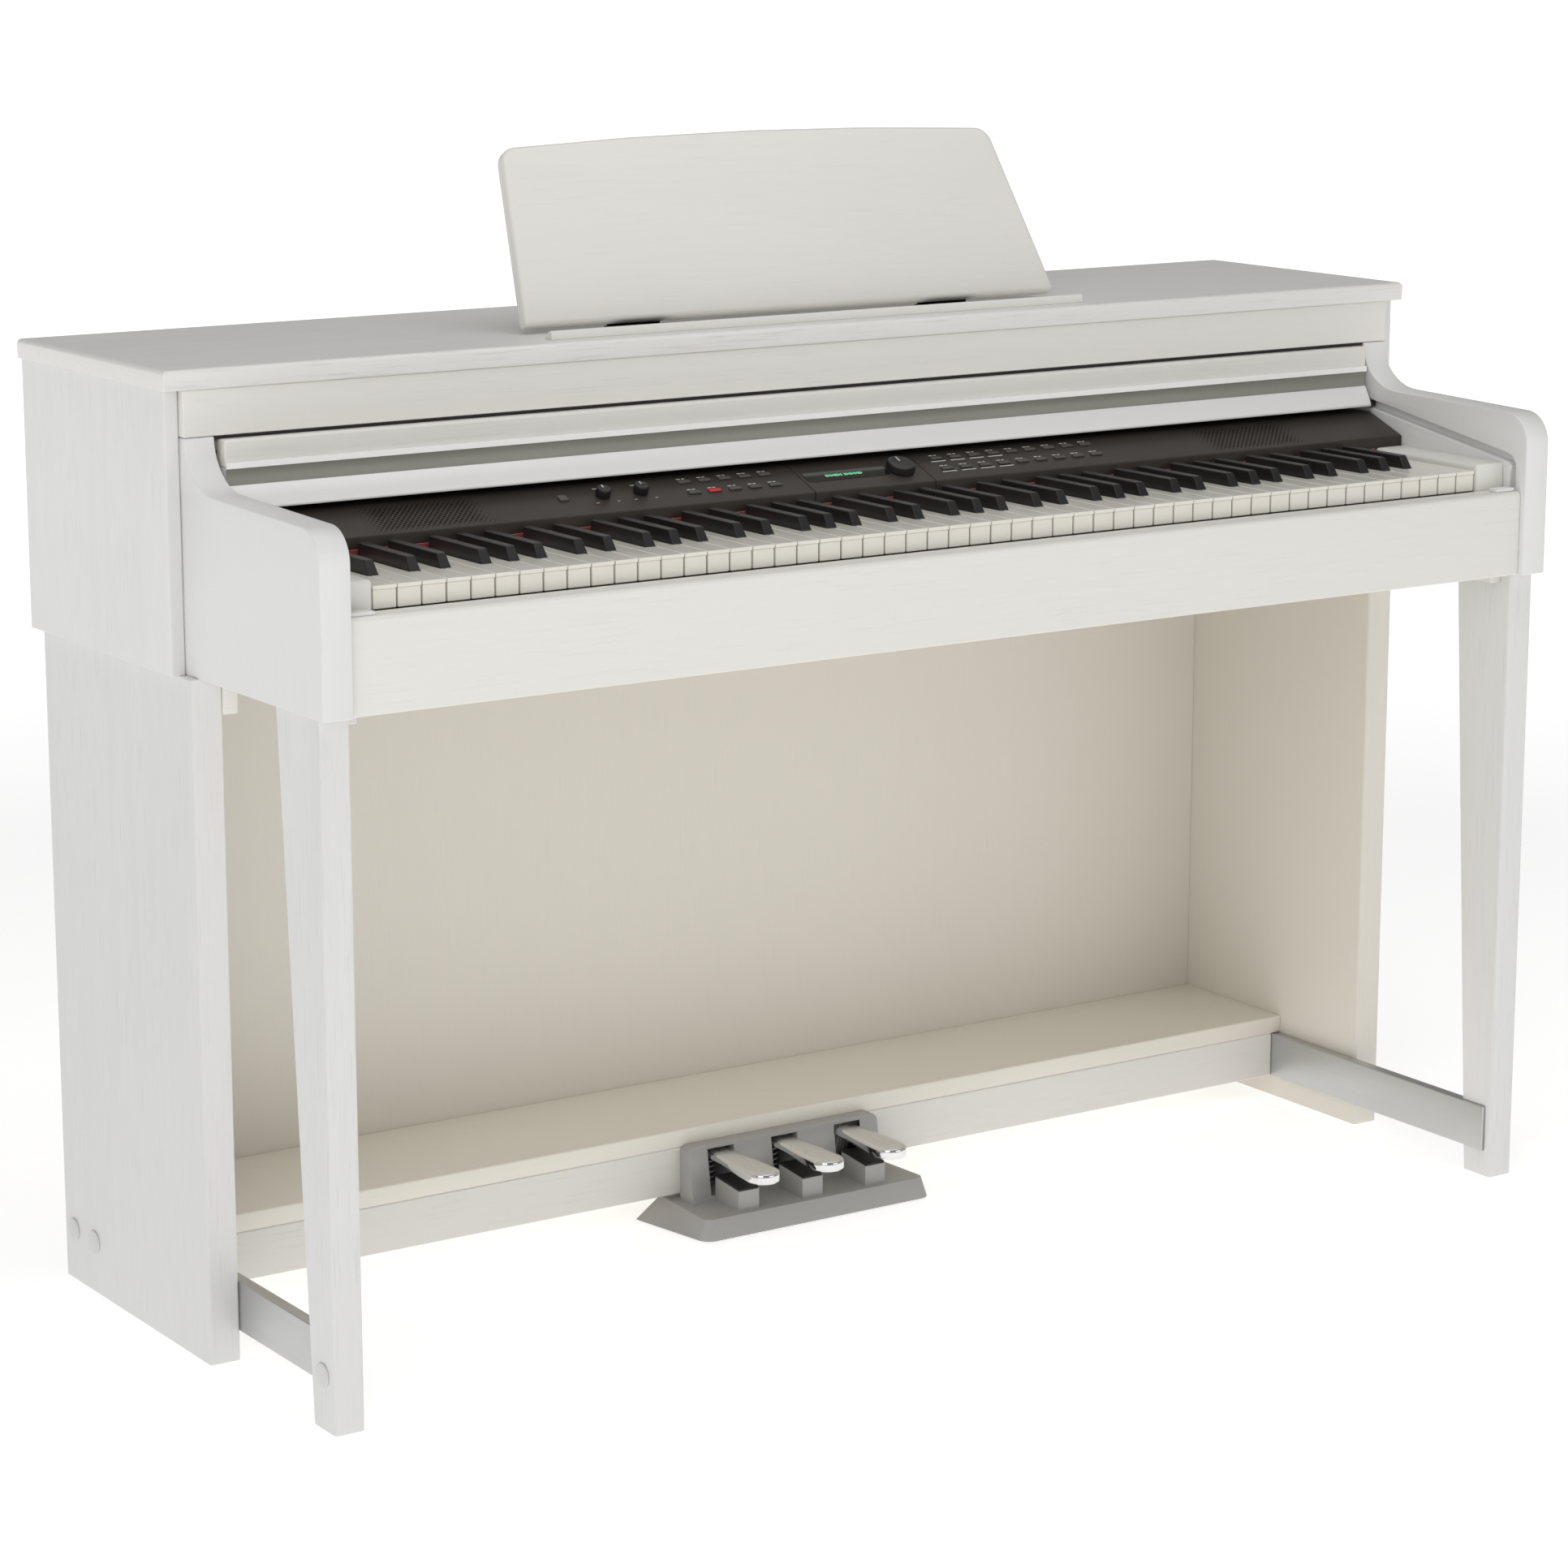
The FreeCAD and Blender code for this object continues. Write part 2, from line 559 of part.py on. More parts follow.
def cap_rod(name, x, y, radius, rise, sink):
    solid = doc.addObject("Part::Cylinder", name)
    solid.setExpression("Radius", E(radius))
    solid.setExpression("Height", E("(%s) + (%s)" % (rise, sink)))
    yy = "(%s) + (%s) * sin(%s)" % (y, sink, tilt)
    zz = "%s - (%s) * cos(%s)" % (on_panel(y), sink, tilt)
    return tilted(solid, x, yy, zz)


def num(value):
    return "%.2f" % value if value >= 0 else "0 - %.2f" % -value


KNOBS = (("volume_knob", "0 - 282"), ("brilliance_knob", "0 - 242"))
KNOB_Y = "panel_front + 27"
POWER_X = "0 - 323"
DIAL_X = "43"
DIAL_Y = "panel_front + 24"

left_wing = body("wing_left_blank", False)
pad(left_wing, "wing_left_pad", "YZ_Plane", PANEL_PROFILE, "0 - " + IN_ARM + " + fit_gap",
    IN_ARM + " - fit_gap - centre_half - 0.5")
right_wing = body("wing_right_blank", False)
pad(right_wing, "wing_right_pad", "YZ_Plane", PANEL_PROFILE, "centre_half + 0.5",
    IN_ARM + " - fit_gap - centre_half - 0.5")
centre = body("panel_centre_blank", False)
pad(centre, "panel_centre_pad", "YZ_Plane", PANEL_PROFILE, "0 - centre_half",
    "centre_half * 2")

WIDE = "button_wide + button_clear * 2"
DEEP = "button_deep + button_clear * 2"
holes_left = [cap_box("hole_l%d" % i, num(x), ROW_Y[r], WIDE, DEEP, "2", "6")
              for i, (x, r) in enumerate(BUTTON_LEFT)]
holes_left += [cap_rod("hole_" + n, x, KNOB_Y, "3.4", "2", "6") for n, x in KNOBS]
holes_left.append(cap_box("hole_power", POWER_X, KNOB_Y, "9.8", "9.8", "2", "6"))
holes_right = [cap_box("hole_r%d" % i, num(x), ROW_Y[r], WIDE, DEEP, "2", "6")
               for i, (x, r) in enumerate(BUTTON_RIGHT)]
speaker_holes = []
wings = []
for side, blank, holes in ((-1, left_wing, holes_left), (1, right_wing, holes_right)):
    tag = "l" if side < 0 else "r"
    for i in range(12):
        for j in range(4):
            sx = side * (412 + i * 9.6)
            sy = "panel_front + %.1f" % (9 + j * 9.5)
            speaker_holes.append(None)
            holes.append(cap_box("grille_%s%d_%d" % (tag, i, j), num(sx), sy,
                                 "4", "4", "2", "6"))
    tools = doc.addObject("Part::Compound", "holes_" + tag)
    tools.Links = holes
    wings.append(cut("wing_" + tag, blank, tools, False))
group("panel_wings", wings)
window_hole = cap_box("window_hole", "0 - 26", DIAL_Y, "78.4", "14.4", "2", "6")
dial_hole = cap_rod("dial_hole", DIAL_X, DIAL_Y, "3.4", "2", "6")
tools = doc.addObject("Part::Compound", "holes_centre")
tools.Links = [window_hole, dial_hole]
cut("panel_centre", centre, tools)
keep(cap_box("display_window_box", "0 - 26", DIAL_Y, "78", "14", "0", "2"), "display_window")

for name, x in KNOBS:
    head = cap_rod(name + "_head", x, KNOB_Y, "knob_radius", "knob_high", "0 - 0.6")
    stem = cap_rod(name + "_stem", x, KNOB_Y, "3", "2", "5.5")
    fuse(name, [head, stem])
head = cap_rod("dial_head", DIAL_X, DIAL_Y, "dial_radius", "dial_high", "0 - 0.6")
stem = cap_rod("dial_stem", DIAL_X, DIAL_Y, "3", "2", "5.5")
fuse("data_dial", [head, stem])
keep(cap_box("power_cap", POWER_X, KNOB_Y, "9", "9", "2", "4"), "power_button")
RED = 6
caps = [cap_box("cap_l%d" % i, num(x), ROW_Y[r], "button_wide", "button_deep",
                "button_rise", "4") for i, (x, r) in enumerate(BUTTON_LEFT)]
keep(caps[RED], "start_button")
group("left_buttons", [c for i, c in enumerate(caps) if i != RED])
group("right_buttons", [cap_box("cap_r%d" % i, num(x), ROW_Y[r], "button_wide",
                                "button_deep", "button_rise", "4")
                        for i, (x, r) in enumerate(BUTTON_RIGHT)])
cones = []
for side, name in ((-1, "bass"), (1, "treble")):
    x = num(side * 465)
    cones.append(cap_box("speaker_" + name, x, "panel_front + 26", "124", "36",
                         "0 - panel_skin - 2", "9"))
group("speakers", cones)
box("main_board", "0 - 340", "0 + 340", PIVOT + " + 42", REAR + " - back_thick - 78.5", BED_TOP,
    BED_TOP + " + 9")

# ---------------------------------------------------------------- key cover
SLOPE = "tan(cover_slope * 1deg)"
board = body("cover_board")
pad(board, "cover_board_pad", "YZ_Plane",
    [("flap_front + flap_thick", "flap_high - 2"),
     ("flap_front + flap_thick", "flap_high - 2 - cover_thick"),
     ("flap_front + flap_thick + cover_length",
      "flap_high - 2 - cover_thick + cover_length * " + SLOPE),
     ("flap_front + flap_thick + cover_length", "flap_high - 2 + cover_length * " + SLOPE)],
    "0 - " + COVER_HALF, COVER_HALF + " * 2")
flap = body("cover_flap")
pad(flap, "cover_flap_pad", "YZ_Plane",
    [("flap_front", "flap_low"), ("flap_front + flap_thick", "flap_low"),
     ("flap_front + flap_thick", "flap_high"), ("flap_front", "flap_high")],
    "0 - " + COVER_HALF, COVER_HALF + " * 2")
soften(flap, "cover_flap_round", "3",
       lambda e, p: along(e, "x") and p.z > VAL["flap_high"] - 1 and p.y < VAL["flap_front"] + 1)
grip = body("cover_handle")
pad(grip, "cover_handle_pad", "YZ_Plane",
    [("flap_front - 1", "flap_low"), ("flap_front + flap_thick - 4", "flap_low"),
     ("flap_front + flap_thick - 4", "pin_z + 6"), ("flap_front + 2", "pin_z + 1"),
     ("flap_front - 10.5", "pin_z - 2"), ("flap_front - 10", "pin_z + 2"),
     ("flap_front - 5", "pin_z + 7"), ("flap_front + 1", "pin_z + 15"),
     ("flap_front + 2", "flap_low - 8"), ("flap_front + 1", "flap_low - 4"),
     ("flap_front - 1", "flap_low - 4")],
    "0 - " + COVER_HALF, COVER_HALF + " * 2")
pins = []
for side, name in ((-1, "bass"), (1, "treble")):
    x = COVER_HALF if side > 0 else "0 - %s - 9" % COVER_HALF
    pins.append(rod("pin_" + name, "x", x, "pin_y", "pin_z", "pin_radius", "9", False))
group("cover_pins", pins)
rail_end = "(%s - back_thick - 26.5)" % REAR
rail_low = "(flap_high - 2 - cover_thick - 0.5 + (-8 - flap_front - flap_thick) * %s)" % SLOPE
rails = []
for side, name in ((-1, "bass"), (1, "treble")):
    x0, x1 = span(COVER_HALF + " - 13", IN_SIDE, side)
    rail = body("cover_rail_" + name, False)
    pad(rail, "cover_rail_pad_" + name, "YZ_Plane",
        [("0 - 8", rail_low), ("0 - 8", rail_low + " - 6"),
         (rail_end, rail_low + " - 6 + (%s + 8) * %s" % (rail_end, SLOPE)),
         (rail_end, rail_low + " + (%s + 8) * %s" % (rail_end, SLOPE))],
        x0, "(%s) - (%s)" % (x1, x0))
    rails.append(rail)
group("cover_rails", rails)

# ---------------------------------------------------------------- music rest
desk = body("music_rest")
pad(desk, "desk_pad", "XZ_Plane",
    [("0 - desk_bottom", "0"), ("desk_bottom", "0"), ("desk_top_half", "desk_length - 8"),
     ("desk_top_half * 0.5", "desk_length - 2"), ("0", "desk_length"),
     ("0 - desk_top_half * 0.5", "desk_length - 2"), ("0 - desk_top_half", "desk_length - 8")],
    "0 - desk_thick", "desk_thick")
soften(desk, "desk_corners", "18",
       lambda e, p: along(e, "y") and p.z > VAL["desk_length"] - 9
       and abs(p.x) > VAL["desk_top_half"] - 1)
desk.Placement = FreeCAD.Placement(FreeCAD.Vector(0, 0, 0),
                                   FreeCAD.Rotation(FreeCAD.Vector(-1, 0, 0), 10))
desk.setExpression("Placement.Rotation.Angle", E("desk_lean * 1deg"))
desk.setExpression("Placement.Base.y", E("desk_y"))
desk.setExpression("Placement.Base.z", E("desk_z"))
box("rest_ledge", "0 - desk_bottom", "desk_bottom", "ledge_front", "ledge_front + ledge_deep",
    "lid_top", "lid_top + ledge_high")
hinge_y = "(desk_y + desk_thick * cos(desk_lean * 1deg) + 3.6)"
hinge_z = "(lid_top + 3.2)"
leaves = []
for i, place in enumerate(("0 - 176", "176")):
    plate = box("hinge_plate_%d" % i, "%s - 28" % place, "%s + 28" % place, "desk_y - 4",
                hinge_y + " + 6", "lid_top", "lid_top + 1", False)
    knuckle = rod("hinge_knuckle_%d" % i, "x", "%s - 28" % place, hinge_y, hinge_z,
                  "2.2", "56", False)
    web = box("hinge_web_%d" % i, "%s - 28" % place, "%s + 28" % place, hinge_y,
              hinge_y + " + 2", "lid_top", hinge_z, False)
    leaves.append(fuse("hinge_%d" % i, [plate, knuckle, web], False))
group("rest_hinges", leaves)

# ---------------------------------------------------------------- pedals
unit = body("pedal_housing")
pad(unit, "pedal_base_pad", "XY_Plane",
    [("0 - base_half", "base_front"), ("base_half", "base_front"),
     ("base_half + 18", "beam_front + 20"), ("0 - base_half - 18", "beam_front + 20")],
    "2", "base_high - 2")
pad(unit, "pedal_plate_pad", "YZ_Plane",
    [("plate_front - plate_lean", "base_high - 1"), ("beam_front - 0.3", "base_high - 1"),
     ("beam_front - 0.3", "plate_top"), ("plate_front", "plate_top")],
    "0 - plate_half", "plate_half * 2")
pad(unit, "pedal_back_pad", "XY_Plane",
    [("0 - plate_half + 6", "beam_front - 1"), ("plate_half - 6", "beam_front - 1"),
     ("plate_half - 6", "150"), ("0 - plate_half + 6", "150")], "base_high - 1",
    "rail_high - base_high - 4")
for i in (-1, 0, 1):
    mid = "(pedal_pitch * %d)" % i
    tag = "abc"[i + 1]
    pocket(unit, "pedal_slot_" + tag, "YZ_Plane",
           [("plate_front - plate_lean - 2", "base_high + 5"), ("142", "base_high + 5"),
            ("142", "plate_top - 4"), ("plate_front - plate_lean - 2", "plate_top - 4")],
           mid + " - pedal_wide / 2", "pedal_wide")
    pad(unit, "pedal_post_" + tag, "YZ_Plane",
        [("pier_front", "base_high - 1"), ("pier_back", "base_high - 1"),
         ("pier_back", "pier_low + pier_rise"), ("pier_front", "pier_low")],
        mid + " - pier_wide / 2", "pier_wide")
soften(unit, "pedal_base_corners", "14",
       lambda e, p: along(e, "z") and p.y < VAL["base_front"] + 0.5)
soften(unit, "pedal_plate_corners", "7",
       lambda e, p: along(e, "y") and p.z > VAL["plate_top"] - 0.1
       and abs(p.x) > VAL["plate_half"] - 0.1)
bore = rod("pedal_bore", "x", "0 - plate_half + 10", "axle_y", "axle_z", "axle_radius",
           "plate_half * 2 - 20", False)
PARTS[:] = [p for p in PARTS if p[0] != "pedal_housing"]
cut("pedal_housing", unit, bore)
rod("pedal_axle", "x", "0 - plate_half + 10", "axle_y", "axle_z", "axle_radius",
    "plate_half * 2 - 20")
stops = []
for i in (-1, 0, 1):
    mid = "(pedal_pitch * %d)" % i
    tag = ("left", "middle", "right")[i + 1]
    rubber = body("stop_" + tag, False)
    pad(rubber, "stop_pad_" + tag, "YZ_Plane",
        [("pier_front", "pier_low"), ("pier_back", "pier_low + pier_rise"),
         ("pier_back", "pier_low + pier_rise + stop_thick"),
         ("pier_front", "pier_low + stop_thick")],
        mid + " - pier_wide / 2 + 1", "pier_wide - 2")
    stops.append(rubber)
    lever = body("lever_" + tag, False)
    pad(lever, "lever_pad_" + tag, "XY_Plane",
        [(mid + " - pedal_wide / 2 - 2", "pedal_tip"),
         (mid + " + pedal_wide / 2 + 2", "pedal_tip"),
         (mid + " + pedal_wide / 2 - 1.5", "plate_front - 8"),
         (mid + " + pedal_wide / 2 - 1.5", "axle_y + 9"),
         (mid + " - pedal_wide / 2 + 1.5", "axle_y + 9"),
         (mid + " - pedal_wide / 2 + 1.5", "plate_front - 8")],
        "pedal_top - pedal_thick - 4", "pedal_thick + 4")
    pocket(lever, "lever_under_" + tag, "YZ_Plane",
           [("pedal_tip + 30", "pedal_top - pedal_thick - 5"),
            ("axle_y - 8", "pedal_top - pedal_thick - 5"),
            ("axle_y - 8", "pedal_top - pedal_thick"),
            ("pedal_tip + 36", "pedal_top - pedal_thick")],
           mid + " - pedal_wide", "pedal_wide * 2")
    soften(lever, "lever_nose_" + tag, "16",
           lambda e, p: along(e, "z") and p.y < VAL["pedal_tip"] + 1)
    boss = box("lever_boss_" + tag, mid + " - 10", mid + " + 10", "axle_y - 7", "axle_y + 7",
               "axle_z - 7", "pedal_top - 2", False)
    hole = rod("lever_hole_" + tag, "x", mid + " - 20", "axle_y", "axle_z",
               "axle_radius + axle_clear", "40", False)
    cut(tag + "_pedal", fuse("lever_whole_" + tag, [lever, boss], False), hole)
group("pedal_stops", stops)
foot = VAL["base_high"] + 5
head = VAL["pedal_top"] - VAL["pedal_thick"] - 0.1
wire_radius = 0.9
for i in (-1, 0, 1):
    tag = ("left", "middle", "right")[i + 1]
    tall = head - foot - 2 * wire_radius
    helix = Part.makeHelix(tall / 6.0, tall, 6.0)
    ring = Part.Wire([Part.makeCircle(wire_radius, FreeCAD.Vector(6, 0, 0),
                                      FreeCAD.Vector(0, 1, 0))])
    coil = Part.Wire(helix.Edges).makePipeShell([ring], True, True)
    spring = doc.addObject("Part::Feature", tag + "_spring")
    spring.Shape = coil
    spring.Placement = FreeCAD.Placement(
        FreeCAD.Vector(VAL["pedal_pitch"] * i, VAL["plate_front"] + 22, foot + wire_radius),
        FreeCAD.Rotation())
    keep(spring, tag + "_spring")

# ---------------------------------------------------------------- check and write
doc.recompute()
bad = []
for obj in doc.Objects:
    if "Invalid" in obj.State or "Error" in obj.State:
        bad.append(obj.Name)
for label, obj in PARTS:
    shape = obj.Shape
    if shape.isNull() or not shape.isValid() or not shape.Solids:
        bad.append(label)
if bad:
    raise RuntimeError("not built: " + ", ".join(sorted(set(bad))))
if len(set(label for label, obj in PARTS)) != len(PARTS):
    raise RuntimeError("two sub-parts share a name")
for label, obj in PARTS:
    obj.Shape.exportStep("parts/" + label + ".step")
print("wrote %d parts" % len(PARTS))
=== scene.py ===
import bpy
import bmesh
import json
import math
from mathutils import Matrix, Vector


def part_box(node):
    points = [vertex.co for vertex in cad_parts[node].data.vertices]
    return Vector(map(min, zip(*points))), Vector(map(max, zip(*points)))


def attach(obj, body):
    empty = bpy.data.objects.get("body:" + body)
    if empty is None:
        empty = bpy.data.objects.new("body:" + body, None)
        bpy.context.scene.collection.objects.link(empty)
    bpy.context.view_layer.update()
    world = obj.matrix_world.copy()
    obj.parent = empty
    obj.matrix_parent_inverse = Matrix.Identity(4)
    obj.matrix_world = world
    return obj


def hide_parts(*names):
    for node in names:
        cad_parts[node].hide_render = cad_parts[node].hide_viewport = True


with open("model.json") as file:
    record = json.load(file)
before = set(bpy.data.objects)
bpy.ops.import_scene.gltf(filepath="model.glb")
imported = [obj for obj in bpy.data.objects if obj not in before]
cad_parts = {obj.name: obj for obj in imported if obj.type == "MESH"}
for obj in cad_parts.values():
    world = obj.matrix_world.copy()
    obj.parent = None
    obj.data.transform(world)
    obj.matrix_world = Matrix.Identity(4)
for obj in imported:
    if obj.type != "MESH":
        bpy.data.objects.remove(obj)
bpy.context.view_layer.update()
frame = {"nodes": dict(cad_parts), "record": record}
scene = bpy.context.scene

# ------------------------------------------------------------------ camera
cam_data = bpy.data.cameras.new("view")
cam_data.lens = 98.4
cam_data.sensor_width = 36.0
cam_data.clip_end = 500.0          # reaches the far edge of the floor
cam = bpy.data.objects.new("view", cam_data)
CAM_PITCH, CAM_TURN = -0.214, -0.587
cam.location = (-2.2635, -3.3376, 1.3173)
cam.rotation_euler = (math.pi / 2 + CAM_PITCH, 0.0, CAM_TURN)
scene.collection.objects.link(cam)
scene.camera = cam
scene.view_settings.view_transform = "Standard"

NODE = frame["nodes"]
BODY = {n: b for b, ns in frame["record"]["behaviour"]["bodies"].items() for n in ns}


# ------------------------------------------------------------------ materials
class Mat:
    """A principled material with small helpers for its procedural inputs."""

    def __init__(self, name, color, rough=0.5, metal=0.0, coat=0.0, coat_rough=0.1, spec=0.5):
        self.mat = bpy.data.materials.new(name)
        self.mat.use_nodes = True
        self.tree = self.mat.node_tree
        self.bsdf = self.tree.nodes["Principled BSDF"]
        self.bsdf.inputs["Base Color"].default_value = (*color, 1.0)
        self.bsdf.inputs["Roughness"].default_value = rough
        self.bsdf.inputs["Metallic"].default_value = metal
        self.bsdf.inputs["Coat Weight"].default_value = coat
        self.bsdf.inputs["Coat Roughness"].default_value = coat_rough
        self.bsdf.inputs["Specular IOR Level"].default_value = spec
        self.coord = self.tree.nodes.new("ShaderNodeTexCoord")

    def link(self, a, b):
        self.tree.links.new(a, b)

    def spread(self, scale):
        node = self.tree.nodes.new("ShaderNodeMapping")
        node.inputs["Scale"].default_value = scale
        self.link(self.coord.outputs["Object"], node.inputs["Vector"])
        return node.outputs["Vector"]

    def noise(self, scale, vector=None, detail=4.0, rough=0.55, distortion=0.0):
        node = self.tree.nodes.new("ShaderNodeTexNoise")
        node.inputs["Scale"].default_value = scale
        node.inputs["Detail"].default_value = detail
        node.inputs["Roughness"].default_value = rough
        node.inputs["Distortion"].default_value = distortion
        self.link(vector if vector else self.coord.outputs["Object"], node.inputs["Vector"])
        return node.outputs["Fac"]

    def ramp(self, value, low, high, a=0.3, b=0.7):
        node = self.tree.nodes.new("ShaderNodeValToRGB")
        node.color_ramp.elements[0].position = a
        node.color_ramp.elements[1].position = b
        node.color_ramp.elements[0].color = (*low, 1.0)
        node.color_ramp.elements[1].color = (*high, 1.0)
        self.link(value, node.inputs["Fac"])
        return node.outputs["Color"]

    def span(self, value, low, high, a=0.3, b=0.7):
        node = self.tree.nodes.new("ShaderNodeMapRange")
        node.inputs["From Min"].default_value = a
        node.inputs["From Max"].default_value = b
        node.inputs["To Min"].default_value = low
        node.inputs["To Max"].default_value = high
        self.link(value, node.inputs["Value"])
        return node.outputs["Result"]

    def math(self, kind, a, b=None):
        node = self.tree.nodes.new("ShaderNodeMath")
        node.operation = kind
        for i, v in enumerate((a, b)):
            if v is None:
                continue
            if isinstance(v, (int, float)):
                node.inputs[i].default_value = v
            else:
                self.link(v, node.inputs[i])
        return node.outputs["Value"]

    def bump(self, height, strength, distance):
        node = self.tree.nodes.new("ShaderNodeBump")
        node.inputs["Strength"].default_value = strength
        node.inputs["Distance"].default_value = distance
        self.link(height, node.inputs["Height"])
        previous = self.bsdf.inputs["Normal"].links
        if previous:
            self.link(previous[0].from_socket, node.inputs["Normal"])
        self.link(node.outputs["Normal"], self.bsdf.inputs["Normal"])
        return self

    def color(self, socket):
        self.link(socket, self.bsdf.inputs["Base Color"])
        return self

    def rough(self, socket):
        self.link(socket, self.bsdf.inputs["Roughness"])
        return self


def ash(name, along, light, dark, rough=0.42):
    """White painted foil with an embossed open ash grain running along one axis."""
    m = Mat(name, light, rough, coat=0.12, coat_rough=0.3)
    fine = [620.0, 620.0, 620.0]
    broad = [42.0, 42.0, 42.0]
    fine["xyz".index(along)] = 16.0
    broad["xyz".index(along)] = 2.2
    pores = m.noise(1.0, m.spread(fine), 3.0, 0.6)
    figure = m.noise(1.0, m.spread(broad), 5.0, 0.6, 0.6)
    open_pore = m.span(pores, 0.0, 1.0, 0.56, 0.70)
    bands = m.span(figure, 0.25, 1.0, 0.40, 0.62)
    marks = m.math("MULTIPLY", open_pore, bands)
    cloud = m.noise(3.0, None, 2.0)
    tone = m.math("SUBTRACT", m.math("MULTIPLY", cloud, 0.35), m.math("MULTIPLY", marks, 0.55))
    tone = m.math("ADD", tone, m.math("MULTIPLY", figure, 0.45))
    m.color(m.ramp(tone, dark, light, 0.0, 0.42))
    m.rough(m.span(marks, rough, rough + 0.18, 0.0, 1.0))
    m.bump(m.math("SUBTRACT", 1.0, marks), 0.35, 0.0003)
    m.bump(figure, 0.10, 0.0004)
    return m.mat


def moulded(name, color, rough, size=1400.0, depth=0.12, shade=0.9, coat=0.0):
    m = Mat(name, color, rough, coat=coat)
    grain = m.noise(size, None, 2.0)
    patch = m.noise(9.0, None, 3.0)
    low = tuple(c * shade for c in color)
    m.color(m.ramp(patch, low, color, 0.3, 0.7))
    m.rough(m.span(patch, rough - 0.04, rough + 0.06, 0.3, 0.7))
    m.bump(grain, depth, 0.0002)
    return m.mat


def metal(name, color, rough, along="x", brushed=0.2, shade=0.92, amount=1.0):
    m = Mat(name, color, rough, metal=amount)
    lines = [900.0, 900.0, 900.0]
    lines["xyz".index(along)] = 6.0
    brush = m.noise(1.0, m.spread(lines), 2.0)
    patch = m.noise(6.0, None, 2.0)
    m.color(m.ramp(patch, tuple(c * shade for c in color), color))
    vary = 0.06 if brushed > 0.0 else 0.012
    m.rough(m.span(brush, rough - vary, rough + vary, 0.3, 0.7))
    if brushed > 0.0:
        m.bump(brush, brushed, 0.0001)
    return m.mat


# the along-x copy of the white ash is tinted warmer than the others: painted warm light on the
# front faces
ASH_X_PAINTED_WARM_LIGHT = ash("ash_along_x_painted_warm_light", "x", (0.80, 0.78, 0.735), (0.765, 0.745, 0.70))
ASH_Z = ash("ash_along_z", "z", (0.785, 0.782, 0.77), (0.70, 0.697, 0.685))
ASH_ARM = ash("ash_arm", "z", (0.79, 0.787, 0.775), (0.765, 0.762, 0.75))
# the lid's copy has its own tint, set to the light and shade falling on the lid: painted light and
# shade, not a different paint
ASH_LID_PAINTED_LIGHT = ash("ash_lid_painted_light", "x", (0.80, 0.79, 0.765), (0.70, 0.692, 0.672))
# beige copy of the white ash for the back panel, cabinet back and right leg panel: painted shade
ASH_PAINTED_SHADE = ash("ash_back_painted_shade", "z", (0.78, 0.742, 0.665), (0.762, 0.725, 0.65))
# beige copy for the beam top, made brighter than the back panel: a painted shade tint with painted
# light from above
ASH_BEAM_PAINTED_LIGHT_SHADE = ash("ash_beam_painted_light_shade", "x", (0.86, 0.82, 0.73), (0.83, 0.79, 0.70))
KEY_WHITE = moulded("key_ivory", (0.855, 0.83, 0.75), 0.20, 700.0, 0.04, 0.97, 0.25)
KEY_BLACK = moulded("key_ebony", (0.014, 0.013, 0.013), 0.34, 500.0, 0.10, 0.75, 0.15)
BLACK = moulded("black_plastic", (0.016, 0.015, 0.015), 0.36, 1600.0, 0.14, 0.8)
BUTTON = moulded("button_plastic", (0.085, 0.080, 0.073), 0.30, 1800.0, 0.12, 0.85)
CREAM = moulded("cream_plastic", (0.80, 0.79, 0.74), 0.33, 1200.0, 0.06, 0.96)
PAD = moulded("pad_rubber", (0.80, 0.80, 0.78), 0.55, 1500.0, 0.12, 0.95)
RED = moulded("red_cap", (0.62, 0.018, 0.020), 0.25, 900.0, 0.05, 0.85, 0.3)
GREY = moulded("grey_plastic", (0.42, 0.41, 0.395), 0.46, 1500.0, 0.20, 0.94)
RUBBER = moulded("black_rubber", (0.012, 0.012, 0.012), 0.70, 1900.0, 0.22, 0.7)
CAP = moulded("cap_plastic", (0.76, 0.76, 0.74), 0.36, 1500.0, 0.06, 0.95)
RAIL = metal("rail_paint", (0.60, 0.60, 0.595), 0.42, "y", 0.08)
# grey of the arm groove: lining grey with painted shade
GROOVE_GREY_SHADE = moulded("groove_grey_painted_shade", (0.74, 0.74, 0.73), 0.35, 900.0, 0.04, 0.96)
# darker grey band of the handle: painted reflection of the dark control panel in the polished
# metal
HANDLE_PAINTED_REFLECTION = metal("grip_painted_reflection", (0.33, 0.325, 0.28), 0.45, "x", 0.0, 0.90, 0.20)
GRIP = metal("grip_aluminium", (0.95, 0.945, 0.93), 0.34, "x", 0.0, 0.99, 0.15)
TOPS = metal("pedal_satin", (0.76, 0.76, 0.755), 0.30, "y", 0.04)
CHROME = metal("pedal_chrome", (0.82, 0.82, 0.82), 0.07, "y", 0.01)
STEEL = metal("zinc_steel", (0.42, 0.42, 0.42), 0.38, "x", 0.12)
DARK = metal("black_oxide", (0.03, 0.03, 0.03), 0.45, "x", 0.12)
BOARD = moulded("circuit_mask", (0.02, 0.13, 0.05), 0.30, 300.0, 0.2, 0.7)


def felt():
    m = Mat("red_felt", (0.35, 0.012, 0.014), 0.92)
    m.bsdf.inputs["Sheen Weight"].default_value = 0.5
    fibre = m.noise(2600.0, None, 5.0, 0.7, 0.4)
    m.color(m.ramp(fibre, (0.22, 0.008, 0.010), (0.46, 0.02, 0.02)))
    m.bump(fibre, 0.6, 0.0006)
    return m.mat


FELT = felt()


